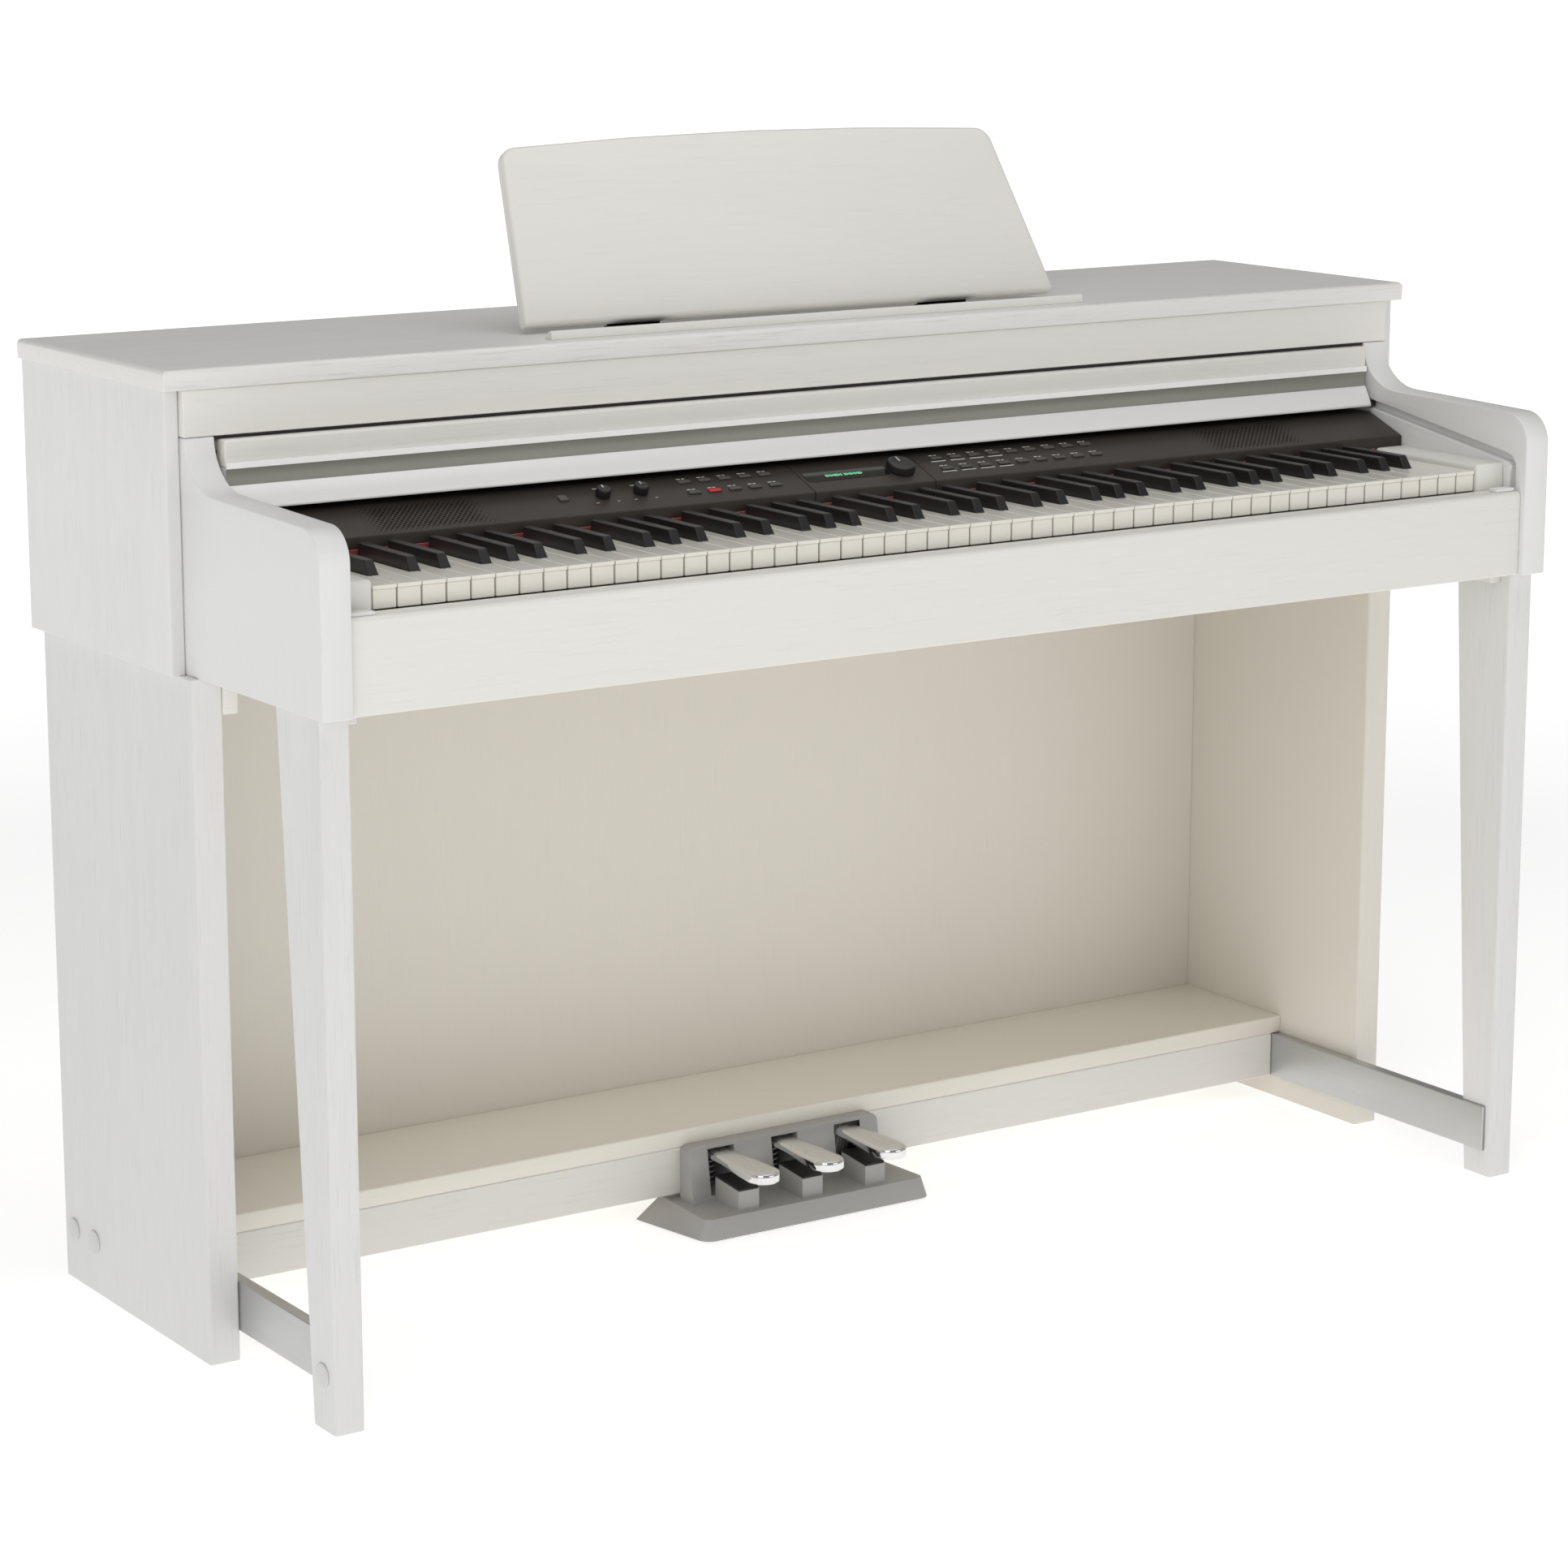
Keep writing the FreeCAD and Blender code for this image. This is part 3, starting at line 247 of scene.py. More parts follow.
def panel_paint():
    """Dark satin panel; the ends carry a fine square perforation that fades at its border."""
    m = Mat("panel_paint", (0.042, 0.035, 0.029), 0.44, spec=0.4)
    sep = m.tree.nodes.new("ShaderNodeSeparateXYZ")
    m.link(m.coord.outputs["Object"], sep.inputs["Vector"])
    x, y = sep.outputs["X"], sep.outputs["Y"]
    pitch = 0.0052
    patch_x, patch_half = 0.465, 0.066
    patch_y, patch_deep = -0.067, 0.023
    u = m.math("ADD", m.math("DIVIDE", x, pitch), m.math("DIVIDE", y, pitch))
    v = m.math("SUBTRACT", m.math("DIVIDE", x, pitch), m.math("DIVIDE", y, pitch))
    du = m.math("ABSOLUTE", m.math("SUBTRACT", m.math("FRACT", u), 0.5))
    dv = m.math("ABSOLUTE", m.math("SUBTRACT", m.math("FRACT", v), 0.5))
    cell = m.math("MAXIMUM", du, dv)
    far = m.math("ABSOLUTE", m.math("SUBTRACT", m.math("ABSOLUTE", x), patch_x))
    side = m.math("DIVIDE", far, patch_half)
    depth = m.math("DIVIDE", m.math("ABSOLUTE", m.math("SUBTRACT", y, patch_y)), patch_deep)
    edge = m.math("MAXIMUM", side, depth)
    size = m.math("MULTIPLY", m.math("SUBTRACT", 1.03, edge), 0.8)
    size = m.math("MINIMUM", size, 0.27)
    hole = m.math("LESS_THAN", cell, size)
    tint = m.noise(7.0, None, 2.0)
    base = m.ramp(tint, (0.040, 0.033, 0.027), (0.052, 0.043, 0.036))
    mix = m.tree.nodes.new("ShaderNodeMix")
    mix.data_type = "RGBA"
    m.link(hole, mix.inputs["Factor"])
    m.link(base, mix.inputs["A"])
    mix.inputs["B"].default_value = (0.003, 0.003, 0.003, 1.0)
    m.color(mix.outputs["Result"])
    m.rough(m.span(hole, 0.44, 1.0, 0.0, 1.0))
    m.link(m.span(hole, 0.4, 0.0, 0.0, 1.0), m.bsdf.inputs["Specular IOR Level"])
    m.bump(m.noise(1500.0, None, 2.0), 0.12, 0.0002)
    m.bump(m.math("SUBTRACT", 1.0, hole), 0.6, 0.0006)
    return m.mat


PANEL = panel_paint()


def glass_black():
    m = Mat("display_gloss", (0.004, 0.005, 0.004), 0.06, coat=0.4, coat_rough=0.03)
    smear = m.noise(60.0, None, 3.0)
    m.rough(m.span(smear, 0.04, 0.10, 0.3, 0.7))
    m.bump(smear, 0.02, 0.0001)
    return m.mat


DISPLAY = glass_black()


def lit(name, color, power):
    m = Mat(name, color, 0.4)
    flick = m.noise(400.0, None, 1.0)
    m.color(m.ramp(flick, tuple(c * 0.8 for c in color), color))
    m.bsdf.inputs["Emission Color"].default_value = (*color, 1.0)
    m.bsdf.inputs["Emission Strength"].default_value = power
    return m.mat


GREEN = lit("display_green", (0.20, 0.80, 0.42), 0.55)
MARK = moulded("print_grey", (0.78, 0.77, 0.72), 0.45, 900.0, 0.02, 0.9)


# ------------------------------------------------------------------ mesh helpers
def piece(name, verts, faces, body, mat, bevel=0.0, seg=3, hides=(), smooth=True,
          angle=30.0):
    mesh = bpy.data.meshes.new(name)
    mesh.from_pydata([tuple(v) for v in verts], [], faces)
    mesh.validate()
    bm = bmesh.new()
    bm.from_mesh(mesh)
    bmesh.ops.recalc_face_normals(bm, faces=bm.faces)
    bm.to_mesh(mesh)
    bm.free()
    return dress(bpy.data.objects.new(name, mesh), body, mat, bevel, seg, hides,
                 smooth, angle)


def dress(obj, body, mat, bevel=0.0, seg=3, hides=(), smooth=True, angle=30.0):
    scene.collection.objects.link(obj)
    if not obj.data.materials:
        obj.data.materials.append(mat)
    else:
        for i in range(len(obj.data.materials)):
            obj.data.materials[i] = mat
    if bevel > 0.0:
        mod = obj.modifiers.new("edge", "BEVEL")
        mod.width = bevel
        mod.segments = seg
        mod.limit_method = "ANGLE"
        mod.angle_limit = math.radians(angle)
        mod.harden_normals = True
        mod.miter_outer = "MITER_ARC"
    if smooth:
        for poly in obj.data.polygons:
            poly.use_smooth = True
        if bevel <= 0.0:
            obj.data.set_sharp_from_angle(angle=math.radians(35.0))
    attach(obj, body)
    if hides:
        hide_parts(*hides)
    return obj


def refine(node, mat, bevel=0.0012, seg=3, angle=30.0):
    """A copy of a CAD node with clean flat faces and softened edges."""
    mesh = NODE[node].data.copy()
    mesh.name = node + "_soft"
    bm = bmesh.new()
    bm.from_mesh(mesh)
    bmesh.ops.remove_doubles(bm, verts=bm.verts, dist=1e-5)
    bmesh.ops.dissolve_limit(bm, angle_limit=math.radians(0.8), verts=bm.verts, edges=bm.edges)
    bmesh.ops.recalc_face_normals(bm, faces=bm.faces)
    bm.to_mesh(mesh)
    bm.free()
    mesh.materials.clear()
    obj = bpy.data.objects.new(node + "_soft", mesh)
    return dress(obj, BODY[node], mat, bevel, seg, (node,), True, angle)


def paint(node, mat):
    obj = NODE[node]
    if not obj.material_slots:
        obj.data.materials.append(mat)
    for s in obj.material_slots:
        s.material = mat


def prism(points, a0, a1, axis="x"):
    """Outline extruded along an axis: (y, z) for x, (x, z) for y, (x, y) for z."""
    verts = []
    for a in (a0, a1):
        for p, q in points:
            if axis == "x":
                verts.append((a, p, q))
            elif axis == "y":
                verts.append((p, a, q))
            else:
                verts.append((p, q, a))
    n = len(points)
    faces = [tuple(range(n)), tuple(range(2 * n - 1, n - 1, -1))]
    for i in range(n):
        j = (i + 1) % n
        faces.append((i, j, n + j, n + i))
    return verts, faces


def join(parts):
    verts, faces = [], []
    for v, f in parts:
        base = len(verts)
        verts += list(v)
        faces += [tuple(base + i for i in face) for face in f]
    return verts, faces


def slab(x0, x1, y0, y1, z0, z1):
    return prism([(x0, y0), (x1, y0), (x1, y1), (x0, y1)], z0, z1, "z")


# ------------------------------------------------------------------ boards
for name in ("left_leg_panel", "left_front_leg", "right_front_leg",
             "left_side_panel", "right_side_panel"):
    refine(name, ASH_Z, 0.0012)
for name in ("left_arm", "right_arm"):
    arm = refine(name, ASH_ARM, 0.0015, 3, 40.0)
    arm.data.materials.append(GROOVE_GREY_SHADE)      # the groove's floor and walls: a light-grey lining, made darker than the arm as painted shade in the groove
    inner = min(abs(v.co.x) for v in arm.data.vertices)
    for poly in arm.data.polygons:
        if inner + 0.0006 < abs(poly.center.x) < inner + 0.0086:
            poly.material_index = 1
for name in ("fascia", "key_slip", "beam_front", "cover_board", "cover_flap",
             "keybed", "leg_brackets"):
    refine(name, ASH_X_PAINTED_WARM_LIGHT, 0.0015)
refine("right_leg_panel", ASH_PAINTED_SHADE, 0.0012)
refine("beam_top", ASH_BEAM_PAINTED_LIGHT_SHADE, 0.0015)
refine("top_lid", ASH_LID_PAINTED_LIGHT, 0.0010)
refine("music_rest", ASH_X_PAINTED_WARM_LIGHT, 0.0040, 2)
refine("back_panel", ASH_PAINTED_SHADE, 0.0008)
refine("cabinet_back", ASH_PAINTED_SHADE, 0.0)
refine("foot_rails", RAIL, 0.0012)
refine("bolt_caps", CAP, 0.0007, 3, 50.0)
refine("key_blocks", CREAM, 0.0035, 4)
refine("slip_bumpers", PAD, 0.0010, 3)
refine("pedal_stops", RUBBER, 0.0006, 2)
refine("rest_hinges", DARK, 0.0003, 2, 50.0)
refine("cover_pins", BLACK, 0.0006, 3, 50.0)
for name, mat in (("felt_strip", FELT), ("key_frame", STEEL), ("main_board", BOARD),
                  ("speakers", BLACK), ("cover_rails", BLACK), ("jack_panel", BLACK),
                  ("pedal_axle", STEEL), ("left_spring", STEEL), ("middle_spring", STEEL),
                  ("right_spring", STEEL)):
    paint(name, mat)

# ledge strip with a sloping back
lo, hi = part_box("rest_ledge")
profile = [(lo.y, lo.z), (hi.y, lo.z), (hi.y, lo.z + 0.0015), (lo.y + 0.0048, hi.z),
           (lo.y + 0.0014, hi.z)]
v, f = prism(profile, lo.x, hi.x, "x")
piece("ledge_strip", v, f, "chassis", ASH_X_PAINTED_WARM_LIGHT, 0.0006, 2, ("rest_ledge",))

# ------------------------------------------------------------------ keys
lo_w, hi_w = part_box("white_keys")
lo_b, hi_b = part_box("black_keys")
GAP = 0.001
PITCH = (hi_w.x - lo_w.x + GAP) / 52.0
X0 = lo_w.x - GAP / 2
LETTERS = "AB" + "CDEFGAB" * 7 + "C"
BLACK_BACK = -0.096
SHIFT = {"C": -0.003, "D": 0.003, "F": -0.004, "G": 0.0, "A": 0.004}
HALF_B = 0.00525
CLEAR = 0.0012
NECK = lo_b.y - 0.002


def centre_black(i):
    return X0 + (i + 1) * PITCH + SHIFT[LETTERS[i]]


def black_after(i):
    return 0 <= i < 51 and LETTERS[i] in SHIFT


def white_shape(i):
    left = X0 + i * PITCH + GAP / 2
    right = left + PITCH - GAP
    tl = centre_black(i - 1) + HALF_B + CLEAR if black_after(i - 1) else left
    tr = centre_black(i) - HALF_B - CLEAR if black_after(i) else right
    parts = []
    for z0, z1, front, shrink in ((hi_w.z - 0.0035, hi_w.z, lo_w.y, 0.0),
                                  (lo_w.z, hi_w.z - 0.0035, lo_w.y + 0.0009, 0.0004)):
        ring = [(left + shrink, front), (right - shrink, front)]
        ring.append((right - shrink, NECK))
        if tr < right:
            ring.append((tr - shrink, NECK))
        ring += [(tr - shrink, hi_w.y), (tl + shrink, hi_w.y)]
        if tl > left:
            ring.append((tl + shrink, NECK))
        ring.append((left + shrink, NECK))
        clean = []
        for p in ring:
            if not clean or (Vector(p) - Vector(clean[-1])).length > 1e-6:
                clean.append(p)
        parts.append(prism(clean, z0, z1, "z"))
    return parts


def black_shape(i):
    c = centre_black(i)
    b = [(c - HALF_B, lo_b.y, lo_b.z + 0.010), (c + HALF_B, lo_b.y, lo_b.z + 0.010),
         (c + HALF_B, BLACK_BACK, lo_b.z + 0.010), (c - HALF_B, BLACK_BACK, lo_b.z + 0.010)]
    m = [(c - HALF_B, lo_b.y + 0.0004, hi_w.z), (c + HALF_B, lo_b.y + 0.0004, hi_w.z),
         (c + HALF_B, BLACK_BACK, hi_w.z), (c - HALF_B, BLACK_BACK, hi_w.z)]
    t = [(c - 0.0043, lo_b.y + 0.0085, hi_b.z), (c + 0.0043, lo_b.y + 0.0085, hi_b.z),
         (c + 0.0043, BLACK_BACK - 0.0003, hi_b.z),
         (c - 0.0043, BLACK_BACK - 0.0003, hi_b.z)]
    faces = [(0, 3, 2, 1), (8, 9, 10, 11)]
    for k in (0, 4):
        for j in range(4):
            n = (j + 1) % 4
            faces.append((k + j, k + n, k + 4 + n, k + 4 + j))
    stick = slab(c - 0.0042, c + 0.0042, lo_b.y + 0.003, hi_b.y, lo_b.z, lo_b.z + 0.0118)
    return [(b + m + t, faces), stick]


SINGLE = {23: "key_c4", 24: "key_d4", 25: "key_e4"}
SINGLE_B = {23: "key_c_sharp4", 24: "key_d_sharp4"}
whites, blacks = [], []
for i in range(52):
    if i in SINGLE:
        v, f = join(white_shape(i))
        piece(SINGLE[i] + "_top", v, f, BODY[SINGLE[i]], KEY_WHITE, 0.0007, 3,
              (SINGLE[i],))
    else:
        whites += white_shape(i)
    if black_after(i):
        if i in SINGLE_B:
            v, f = join(black_shape(i))
            piece(SINGLE_B[i] + "_top", v, f, BODY[SINGLE_B[i]], KEY_BLACK,
                  0.0011, 3, (SINGLE_B[i],), True, 15.0)
        else:
            blacks += black_shape(i)
v, f = join(whites)
piece("white_keys_top", v, f, BODY["white_keys"], KEY_WHITE, 0.0007, 3,
      ("white_keys",))
v, f = join(blacks)
piece("black_keys_top", v, f, BODY["black_keys"], KEY_BLACK, 0.0011, 3,
      ("black_keys",), True, 15.0)

# ------------------------------------------------------------------ control panel
lo_p, hi_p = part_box("panel_wings")
lo_c, hi_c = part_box("panel_centre")
PANEL_RISE, PANEL_RUN = 0.019, 0.0485
FRONT_Z = hi_p.z - PANEL_RISE
REAR_Y = lo_p.y + PANEL_RUN
TILT = math.atan2(PANEL_RISE, PANEL_RUN)
NORMAL = Vector((0.0, -math.sin(TILT), math.cos(TILT)))
UPWARD = Vector((0.0, math.cos(TILT), math.sin(TILT)))
ACROSS = Vector((1.0, 0.0, 0.0))


def on_slope(x, y, h=0.0):
    return Vector((x, y, FRONT_Z + (y - lo_p.y) * math.tan(TILT))) + NORMAL * h


def sloped(points, y, x, h0, h1):
    """Outline in the panel's own plane, extruded along its normal."""
    verts = []
    for h in (h0, h1):
        for a, b in points:
            verts.append(on_slope(x, y, h) + ACROSS * a + UPWARD * b)
    n = len(points)
    faces = [tuple(range(n)), tuple(range(2 * n - 1, n - 1, -1))]
    for i in range(n):
        j = (i + 1) % n
        faces.append((i, j, n + j, n + i))
    return verts, faces


def plate_ring(w, d, r=0.0, n=5):
    if r <= 0:
        return [(-w / 2, -d / 2), (w / 2, -d / 2), (w / 2, d / 2), (-w / 2, d / 2)]
    ring = []
    for cx, cy, a0 in ((w / 2 - r, -d / 2 + r, -90), (w / 2 - r, d / 2 - r, 0),
                       (-w / 2 + r, d / 2 - r, 90), (-w / 2 + r, -d / 2 + r, 180)):
        for k in range(n + 1):
            a = math.radians(a0 + 90.0 * k / n)
            ring.append((cx + r * math.cos(a), cy + r * math.sin(a)))
    return ring


skin = [(lo_p.y, FRONT_Z - 0.015), (lo_p.y, FRONT_Z), (REAR_Y, hi_p.z), (hi_p.y, hi_p.z),
        (hi_p.y, lo_p.z), (hi_p.y - 0.003, lo_p.z), (hi_p.y - 0.003, hi_p.z - 0.0035),
        (REAR_Y, hi_p.z - 0.0035), (lo_p.y + 0.0025, FRONT_Z - 0.0035),
        (lo_p.y + 0.0025, FRONT_Z - 0.015)]
v, f = join([prism(skin, lo_p.x, lo_c.x - 0.0005, "x"),
             prism(skin, hi_c.x + 0.0005, hi_p.x, "x")])
piece("panel_wing_shells", v, f, "chassis", PANEL, 0.0012, 3,
      ("panel_wings",))
v, f = prism(skin, lo_c.x, hi_c.x, "x")
piece("panel_centre_shell", v, f, "chassis", PANEL, 0.0012, 3,
      ("panel_centre",))

lo_d, hi_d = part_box("display_window")
DISP_Y = (lo_d.y + hi_d.y) / 2
v, f = sloped(plate_ring(0.092, 0.0160, 0.0015), DISP_Y, -0.018, -0.0010, 0.0006)
piece("display_glass", v, f, "chassis", DISPLAY, 0.0003, 2,
      ("display_window",))
glyphs = []
pattern = "1101011101 11011010110"
for k, bit in enumerate(pattern):
    if bit == " ":
        continue
    tall = 0.0040 if bit == "1" else 0.0024
    glyphs.append(sloped(plate_ring(0.0009, tall), DISP_Y - 0.0002, -0.041 + k * 0.0019,
                         0.0005, 0.00075))
v, f = join(glyphs)
piece("display_segments", v, f, "chassis", GREEN, 0.0, 1, (), False)

ROWS = (lo_p.y + 0.0365, lo_p.y + 0.018)
left_caps = [(-0.1895 + 0.022 * i, r) for r in (0, 1) for i in range(5)]
right_caps = [(0.0935 + 0.0222 * i, r) for r in (0, 1) for i in range(9)]
CAP_W, CAP_D, CAP_R = 0.0130, 0.0048, 0.0011


def button_set(name, spots, body, mat, hides):
    parts = [sloped(plate_ring(CAP_W, CAP_D, CAP_R), ROWS[r], x, -0.0024, 0.0016)
             for x, r in spots]
    v, f = join(parts)
    return piece(name, v, f, body, mat, 0.0006, 3, hides, True, 40.0)


button_set("left_button_caps", [s for k, s in enumerate(left_caps) if k != 6],
           BODY["left_buttons"], BUTTON, ("left_buttons",))
button_set("red_button_cap", [left_caps[6]], BODY["start_button"], RED,
           ("start_button",))
button_set("right_button_caps", right_caps, BODY["right_buttons"], BUTTON,
           ("right_buttons",))
wells = [sloped(plate_ring(CAP_W + 0.0010, CAP_D + 0.0010, CAP_R + 0.0004), ROWS[r], x,
                -0.0006, 0.00018) for x, r in left_caps + right_caps]
v, f = join(wells)
piece("button_wells", v, f, "chassis", RUBBER, 0.0, 1, (), True)
marks = []
for x, r in left_caps + right_caps:
    for k, w in enumerate((0.0042, 0.0030)):
        marks.append(sloped(plate_ring(w, 0.0010), ROWS[r] + 0.0058,
                            x - 0.0026 + k * 0.0050, 0.00005, 0.00016))
for k in (0, 1, 2, 3):
    for r in (0, 1):
        marks.append(sloped(plate_ring(0.0165, 0.0011), ROWS[r] - 0.0047,
                            right_caps[k][0], 0.00005, 0.00022))
for x in (-0.282, -0.242):
    for dx in (-0.011, 0.011):
        marks.append(sloped(plate_ring(0.0030, 0.0006), lo_p.y + 0.0165, x + dx, 0.00005,
                            0.00016))
    marks.append(sloped(plate_ring(0.0070, 0.0007), lo_p.y + 0.0395, x, 0.00005, 0.00016))
v, f = join(marks)
piece("panel_marks", v, f, "chassis", MARK, 0.0, 1, (), False)

lo_k, hi_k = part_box("power_button")
v, f = sloped(plate_ring(0.009, 0.009, 0.0012), (lo_k.y + hi_k.y) / 2 + 0.0006, -0.323,
              -0.0024, 0.0019)
piece("power_cap", v, f, BODY["power_button"], BUTTON, 0.0007, 3,
      ("power_button",), True, 40.0)


def knurled(name, node, x, y, radius, height, ribs, depth):
    """A fluted knob: ribbed skirt, chamfered shoulder and a shallow dished top."""
    levels = [(0.0006, radius * 0.94, 0.0), (0.0010, radius, 1.0),
              (height * 0.70, radius * 0.985, 1.0), (height * 0.90, radius * 0.95, 0.6),
              (height * 0.985, radius * 0.86, 0.0), (height, radius * 0.80, 0.0),
              (height - 0.0005, radius * 0.66, 0.0), (height - 0.0008, radius * 0.3, 0.0)]
    n = ribs * 6
    verts, faces = [], []
    for h, r, k in levels:
        for i in range(n):
            a = 2 * math.pi * i / n
            rr = r - depth * k * (0.5 - 0.5 * math.cos(ribs * a))
            verts.append(on_slope(x, y, h) + ACROSS * rr * math.cos(a)
                         + UPWARD * rr * math.sin(a))
    for level in range(len(levels) - 1):
        for i in range(n):
            j = (i + 1) % n
            a, b = level * n, (level + 1) * n
            faces.append((a + i, a + j, b + j, b + i))
    faces.append(tuple(range(n - 1, -1, -1)))
    faces.append(tuple(range((len(levels) - 1) * n, len(levels) * n)))
    stem = sloped([(0.003 * math.cos(2 * math.pi * k / 24), 0.003 * math.sin(2 * math.pi * k / 24))
                   for k in range(24)], y, x, -0.005, 0.0007)
    dash = sloped(plate_ring(0.0009, radius * 0.55), y + radius * 0.48, x, height - 0.0009,
                  height + 0.0000)
    v, f = join([(verts, faces), stem])
    obj = piece(name, v, f, BODY[node], BLACK, 0.0, 1, (node,))
    v, f = dash
    piece(name + "_line", v, f, BODY[node], MARK, 0.0, 1, (), False)
    return obj


knurled("volume_cap", "volume_knob", -0.282, lo_p.y + 0.027, 0.0070, 0.0085, 18, 0.0004)
knurled("brilliance_cap", "brilliance_knob", -0.242, lo_p.y + 0.027, 0.0070, 0.0085, 18, 0.0004)
knurled("dial_cap", "data_dial", 0.043, lo_p.y + 0.024, 0.0140, 0.0080, 30, 0.0005)

# ------------------------------------------------------------------ cover handle
lo_h, hi_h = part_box("cover_handle")
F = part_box("cover_flap")[0].y
tall = hi_h.z - lo_h.z
face = [(F - 0.0001, hi_h.z + 0.0045), (F - 0.0020, hi_h.z + 0.0045),
        (F - 0.0022, hi_h.z - 0.03 * tall)]
for k in range(9):
    a = k / 8.0
    face.append((F - 0.0004 + 0.0014 * math.sin(a * math.pi),
                 hi_h.z - (0.045 + 0.395 * a) * tall))
face += [(F - 0.0012, hi_h.z - 0.46 * tall), (lo_h.y + 0.0004, lo_h.z + 0.0030),
         (lo_h.y, lo_h.z + 0.0016), (lo_h.y + 0.0006, lo_h.z)]
arc = face + [(F + 0.002, lo_h.z + 0.003), (F + 0.014, lo_h.z + 0.008), (F + 0.014, hi_h.z),
              (F - 0.0001, hi_h.z)]
v, f = prism(arc, lo_h.x, hi_h.x, "x")
grip = piece("handle_strip", v, f, BODY["cover_handle"], GRIP, 0.0003, 2,
             ("cover_handle",), True, 45.0)
# the concave band faces take the darker grey: painted reflection of the dark panel
grip.data.materials.append(HANDLE_PAINTED_REFLECTION)
for poly in grip.data.polygons:
    c = poly.center
    if hi_h.z - 0.45 * tall < c.z < hi_h.z - 0.035 * tall and c.y < F + 0.0014 \
            and abs(poly.normal.x) < 0.5:
        poly.material_index = 1

# ------------------------------------------------------------------ pedals
lo_a, hi_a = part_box("pedal_axle")
for k, node in enumerate(("left_pedal", "middle_pedal", "right_pedal")):
    lo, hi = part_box(node)
    cx = (lo.x + hi.x) / 2
    r = (hi.x - lo.x) / 2
    ring = []
    for j in range(25):
        a = math.pi * j / 24
        ring.append((cx + r * math.cos(a), lo.y + r - r * math.sin(a)))
    ring = ring[::-1]
    outline = [(x, y) for x, y in ring]
    side = [(r, 0.006), (r * 0.97, 0.022), (r * 0.88, 0.042), (r * 0.83, 0.060),
            (r * 0.83, hi.y)]
    outline += [(cx + w, y) for w, y in side] + [(cx - w, y) for w, y in side[::-1]]
    n = len(outline)

    def under(y):
        t = min(max((y - lo.y - 0.022) / 0.040, 0.0), 1.0)
        t = t * t * (3 - 2 * t)
        return hi.z - 0.0115 + 0.0040 * t

    def inset(k):
        ring = []
        for x, y in outline:
            if y < lo.y + r:
                t = 1.0 - k / r
                ring.append((cx + (x - cx) * t, lo.y + r + (y - lo.y - r) * t))
            else:
                ring.append((x - math.copysign(k, x - cx), y))
        return ring

    levels = [[(x, y, under(y)) for x, y in inset(0.0010)],
              [(x, y, under(y) + 0.0012) for x, y in inset(0.0)]]
    for k, drop in ((0.0, 0.0046), (0.0004, 0.0030), (0.0014, 0.0016), (0.0030, 0.0008),
                    (0.0060, 0.0003), (0.0100, 0.0)):
        levels.append([(x, y, hi.z - drop) for x, y in inset(k)])
    verts, faces = [], []
    for level in levels:
        verts += level
    for m in range(len(levels) - 1):
        for i in range(n):
            j = (i + 1) % n
            faces.append((m * n + i, m * n + j, (m + 1) * n + j, (m + 1) * n + i))
    faces.append(tuple(range(n - 1, -1, -1)))
    faces.append(tuple(range((len(levels) - 1) * n, len(levels) * n)))
    boss = slab(cx - 0.010, cx + 0.010, lo_a.y - 0.004, hi_a.y + 0.004, lo.z + 0.001,
                hi.z - 0.002)
    v, f = join([(verts, faces), boss])
    obj = piece(node + "_lever", v, f, BODY[node], CHROME, 0.0, 1, (node,))
    obj.data.materials.append(TOPS)
    for poly in obj.data.polygons:
        if poly.center.z > hi.z - 0.0010:
            poly.material_index = 1
unit = refine("pedal_housing", GREY, 0.0022, 4, 40.0)
lo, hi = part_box("pedal_housing")

# the base's top face is drawn in, so that its front and sides slope
BASE_TOP, CORNER_Y, DRAW_IN, FADE = 0.022, 0.0135, 0.006, 0.012
CORNER_X = hi.x - 0.034            # where the rounded front corners begin
SIDE_X, SIDE_FALL, BASE_DEEP = 0.127, 0.004, 0.1015
for vert in unit.data.vertices:
    x, y, z = vert.co
    if abs(z - BASE_TOP) > 0.0003:
        continue
    if y < CORNER_Y:
        vert.co.y = y + DRAW_IN * (1.0 - y / CORNER_Y)
        if abs(x) > CORNER_X:
            vert.co.x = x - math.copysign(DRAW_IN * min(1.0, (abs(x) - CORNER_X) / FADE), x)
    elif abs(x) > CORNER_X:
        vert.co.x = math.copysign(SIDE_X - SIDE_FALL * y / BASE_DEEP, x)

# black brush strip that closes the slot between the fascia and the key cover; it serves as painted
# shade that makes the gap dark
F_lo, F_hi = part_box("fascia")
v, f = slab(F_lo.x + 0.03, F_hi.x - 0.03, F_lo.y + 0.001, F_lo.y + 0.005, F_lo.z - 0.0026,
            F_lo.z)
piece("slot_painted_shade_brush", v, f, "chassis", RUBBER, 0.0003, 2)

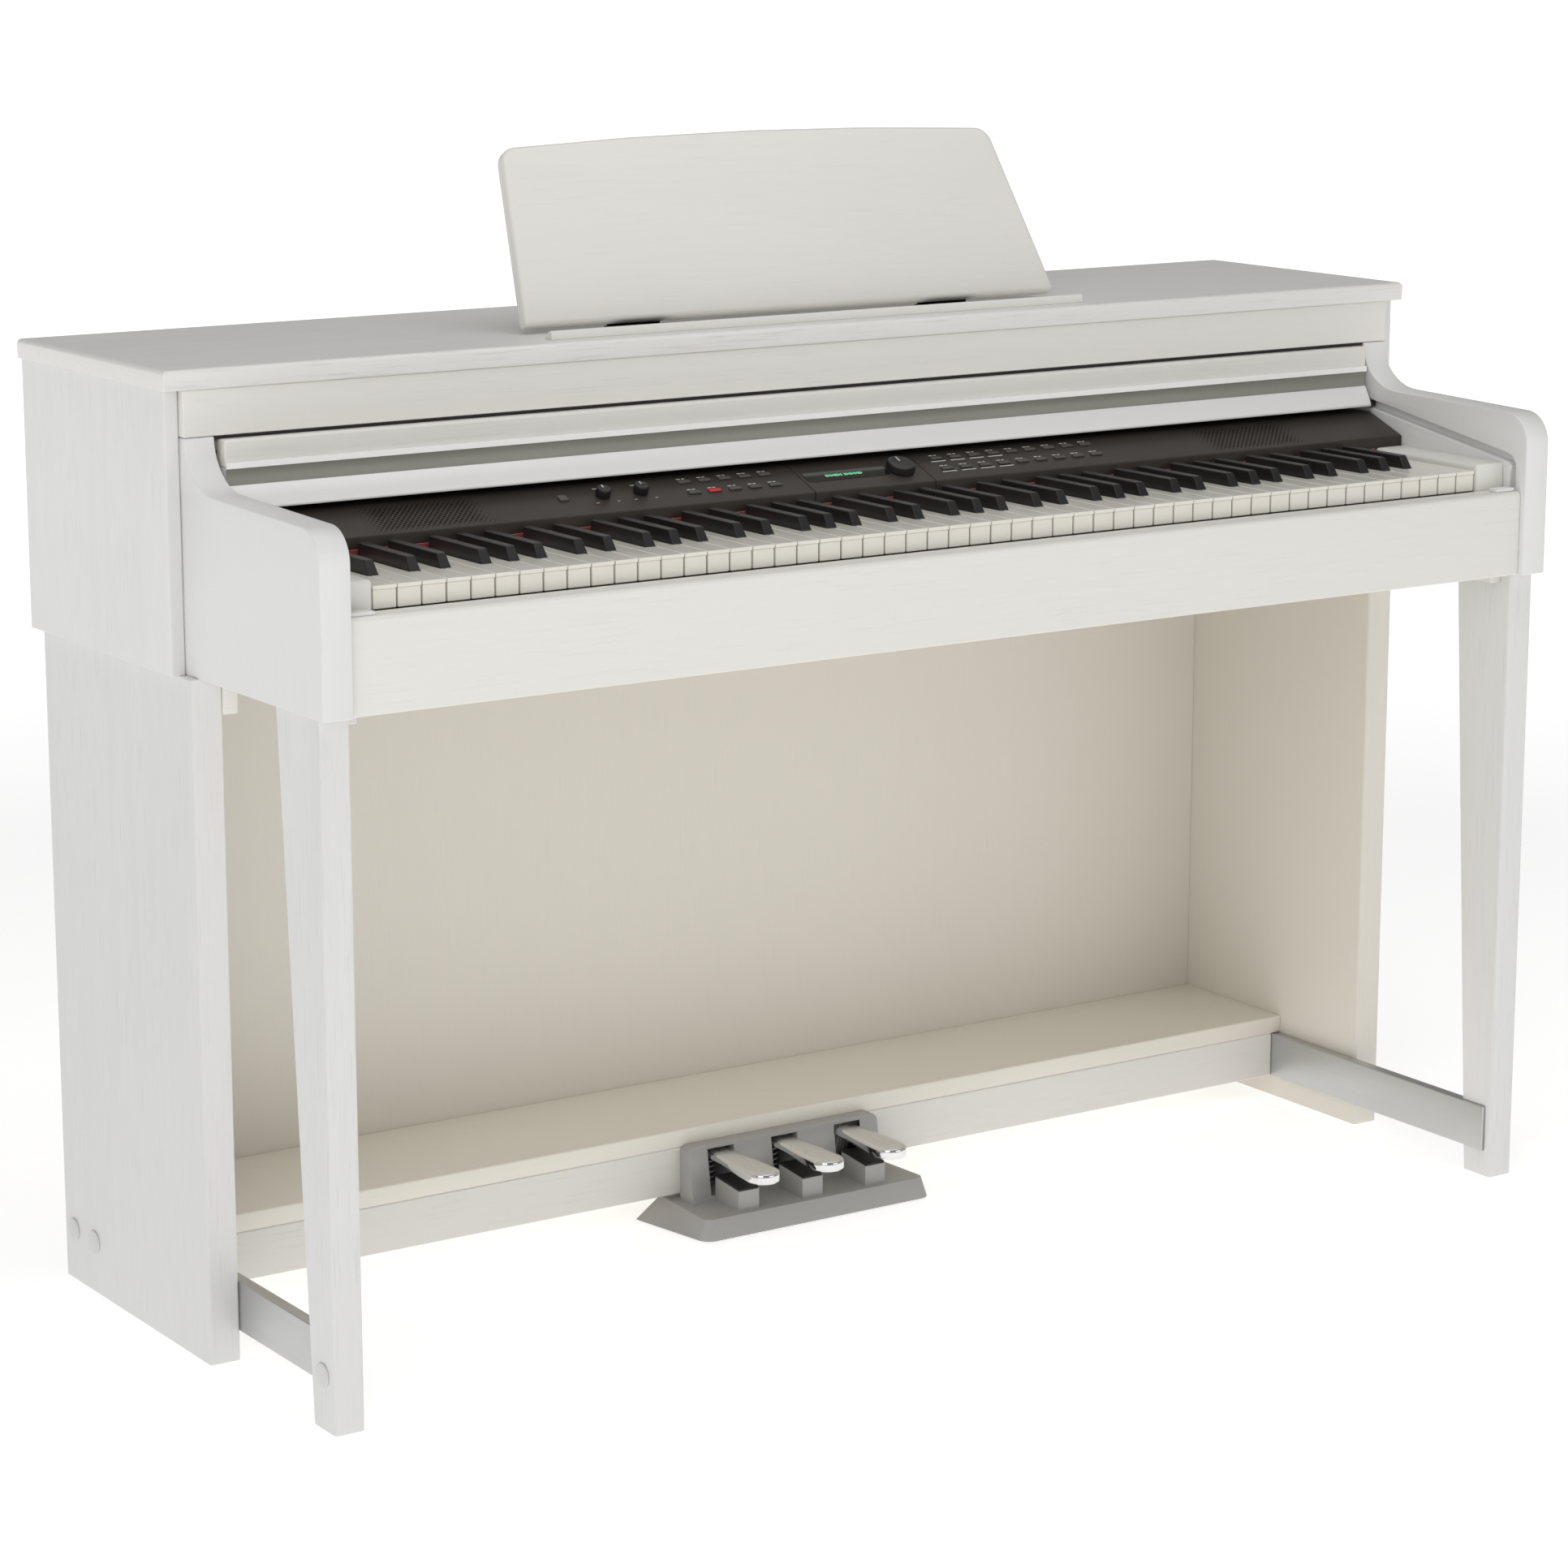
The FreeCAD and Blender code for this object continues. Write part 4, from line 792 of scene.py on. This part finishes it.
# ------------------------------------------------------------------ stage and light
FLOOR_HALF = 200.0
floor_mesh = bpy.data.meshes.new("floor")
floor_mesh.from_pydata([(-FLOOR_HALF, -FLOOR_HALF, 0), (FLOOR_HALF, -FLOOR_HALF, 0),
                        (FLOOR_HALF, FLOOR_HALF, 0), (-FLOOR_HALF, FLOOR_HALF, 0)],
                       [], [(0, 1, 2, 3)])
floor = bpy.data.objects.new("floor", floor_mesh)
scene.collection.objects.link(floor)
m = Mat("floor_paper", (0.86, 0.86, 0.86), 0.9)
m.bsdf.inputs["Emission Color"].default_value = (1.0, 1.0, 1.0, 1.0)
# the paper glows softly by the piano and turns pure white farther out
apart = m.tree.nodes.new("ShaderNodeVectorMath")
apart.operation = "LENGTH"
m.link(m.coord.outputs["Object"], apart.inputs[0])
m.link(m.span(apart.outputs["Value"], 0.55, 1.1, 2.0, 6.0), m.bsdf.inputs["Emission Strength"])
floor.data.materials.append(m.mat)

world = bpy.data.worlds.new("studio")
scene.world = world
world.use_nodes = True
sky = world.node_tree
background = sky.nodes["Background"]
direction = sky.nodes.new("ShaderNodeTexCoord")
axes = sky.nodes.new("ShaderNodeSeparateXYZ")
fade = sky.nodes.new("ShaderNodeValToRGB")
fade.color_ramp.elements[0].position = 0.0
fade.color_ramp.elements[0].color = (0.95, 0.95, 0.95, 1)
fade.color_ramp.elements[1].position = 0.55
fade.color_ramp.elements[1].color = (0.50, 0.50, 0.50, 1)
sky.links.new(direction.outputs["Generated"], axes.inputs["Vector"])
sky.links.new(axes.outputs["Z"], fade.inputs["Fac"])
sky.links.new(fade.outputs["Color"], background.inputs["Color"])
background.inputs["Strength"].default_value = 0.45


def area(name, place, target, size_x, size_y, power):
    data = bpy.data.lights.new(name, "AREA")
    data.shape = "RECTANGLE"
    data.size = size_x
    data.size_y = size_y
    data.energy = power
    obj = bpy.data.objects.new(name, data)
    obj.location = place
    obj.rotation_euler = (Vector(target) - Vector(place)).to_track_quat("-Z", "Y").to_euler()
    scene.collection.objects.link(obj)
    return obj


area("key_light", (-3.2, -2.6, 2.6), (0, 0, 0.6), 2.4, 2.4, 38)
area("fill_light", (2.2, -4.2, 2.2), (0, 0, 0.4), 3.0, 2.2, 21)
area("top_light", (0.0, -0.6, 4.2), (0, 0, 0.5), 4.0, 3.0, 48)
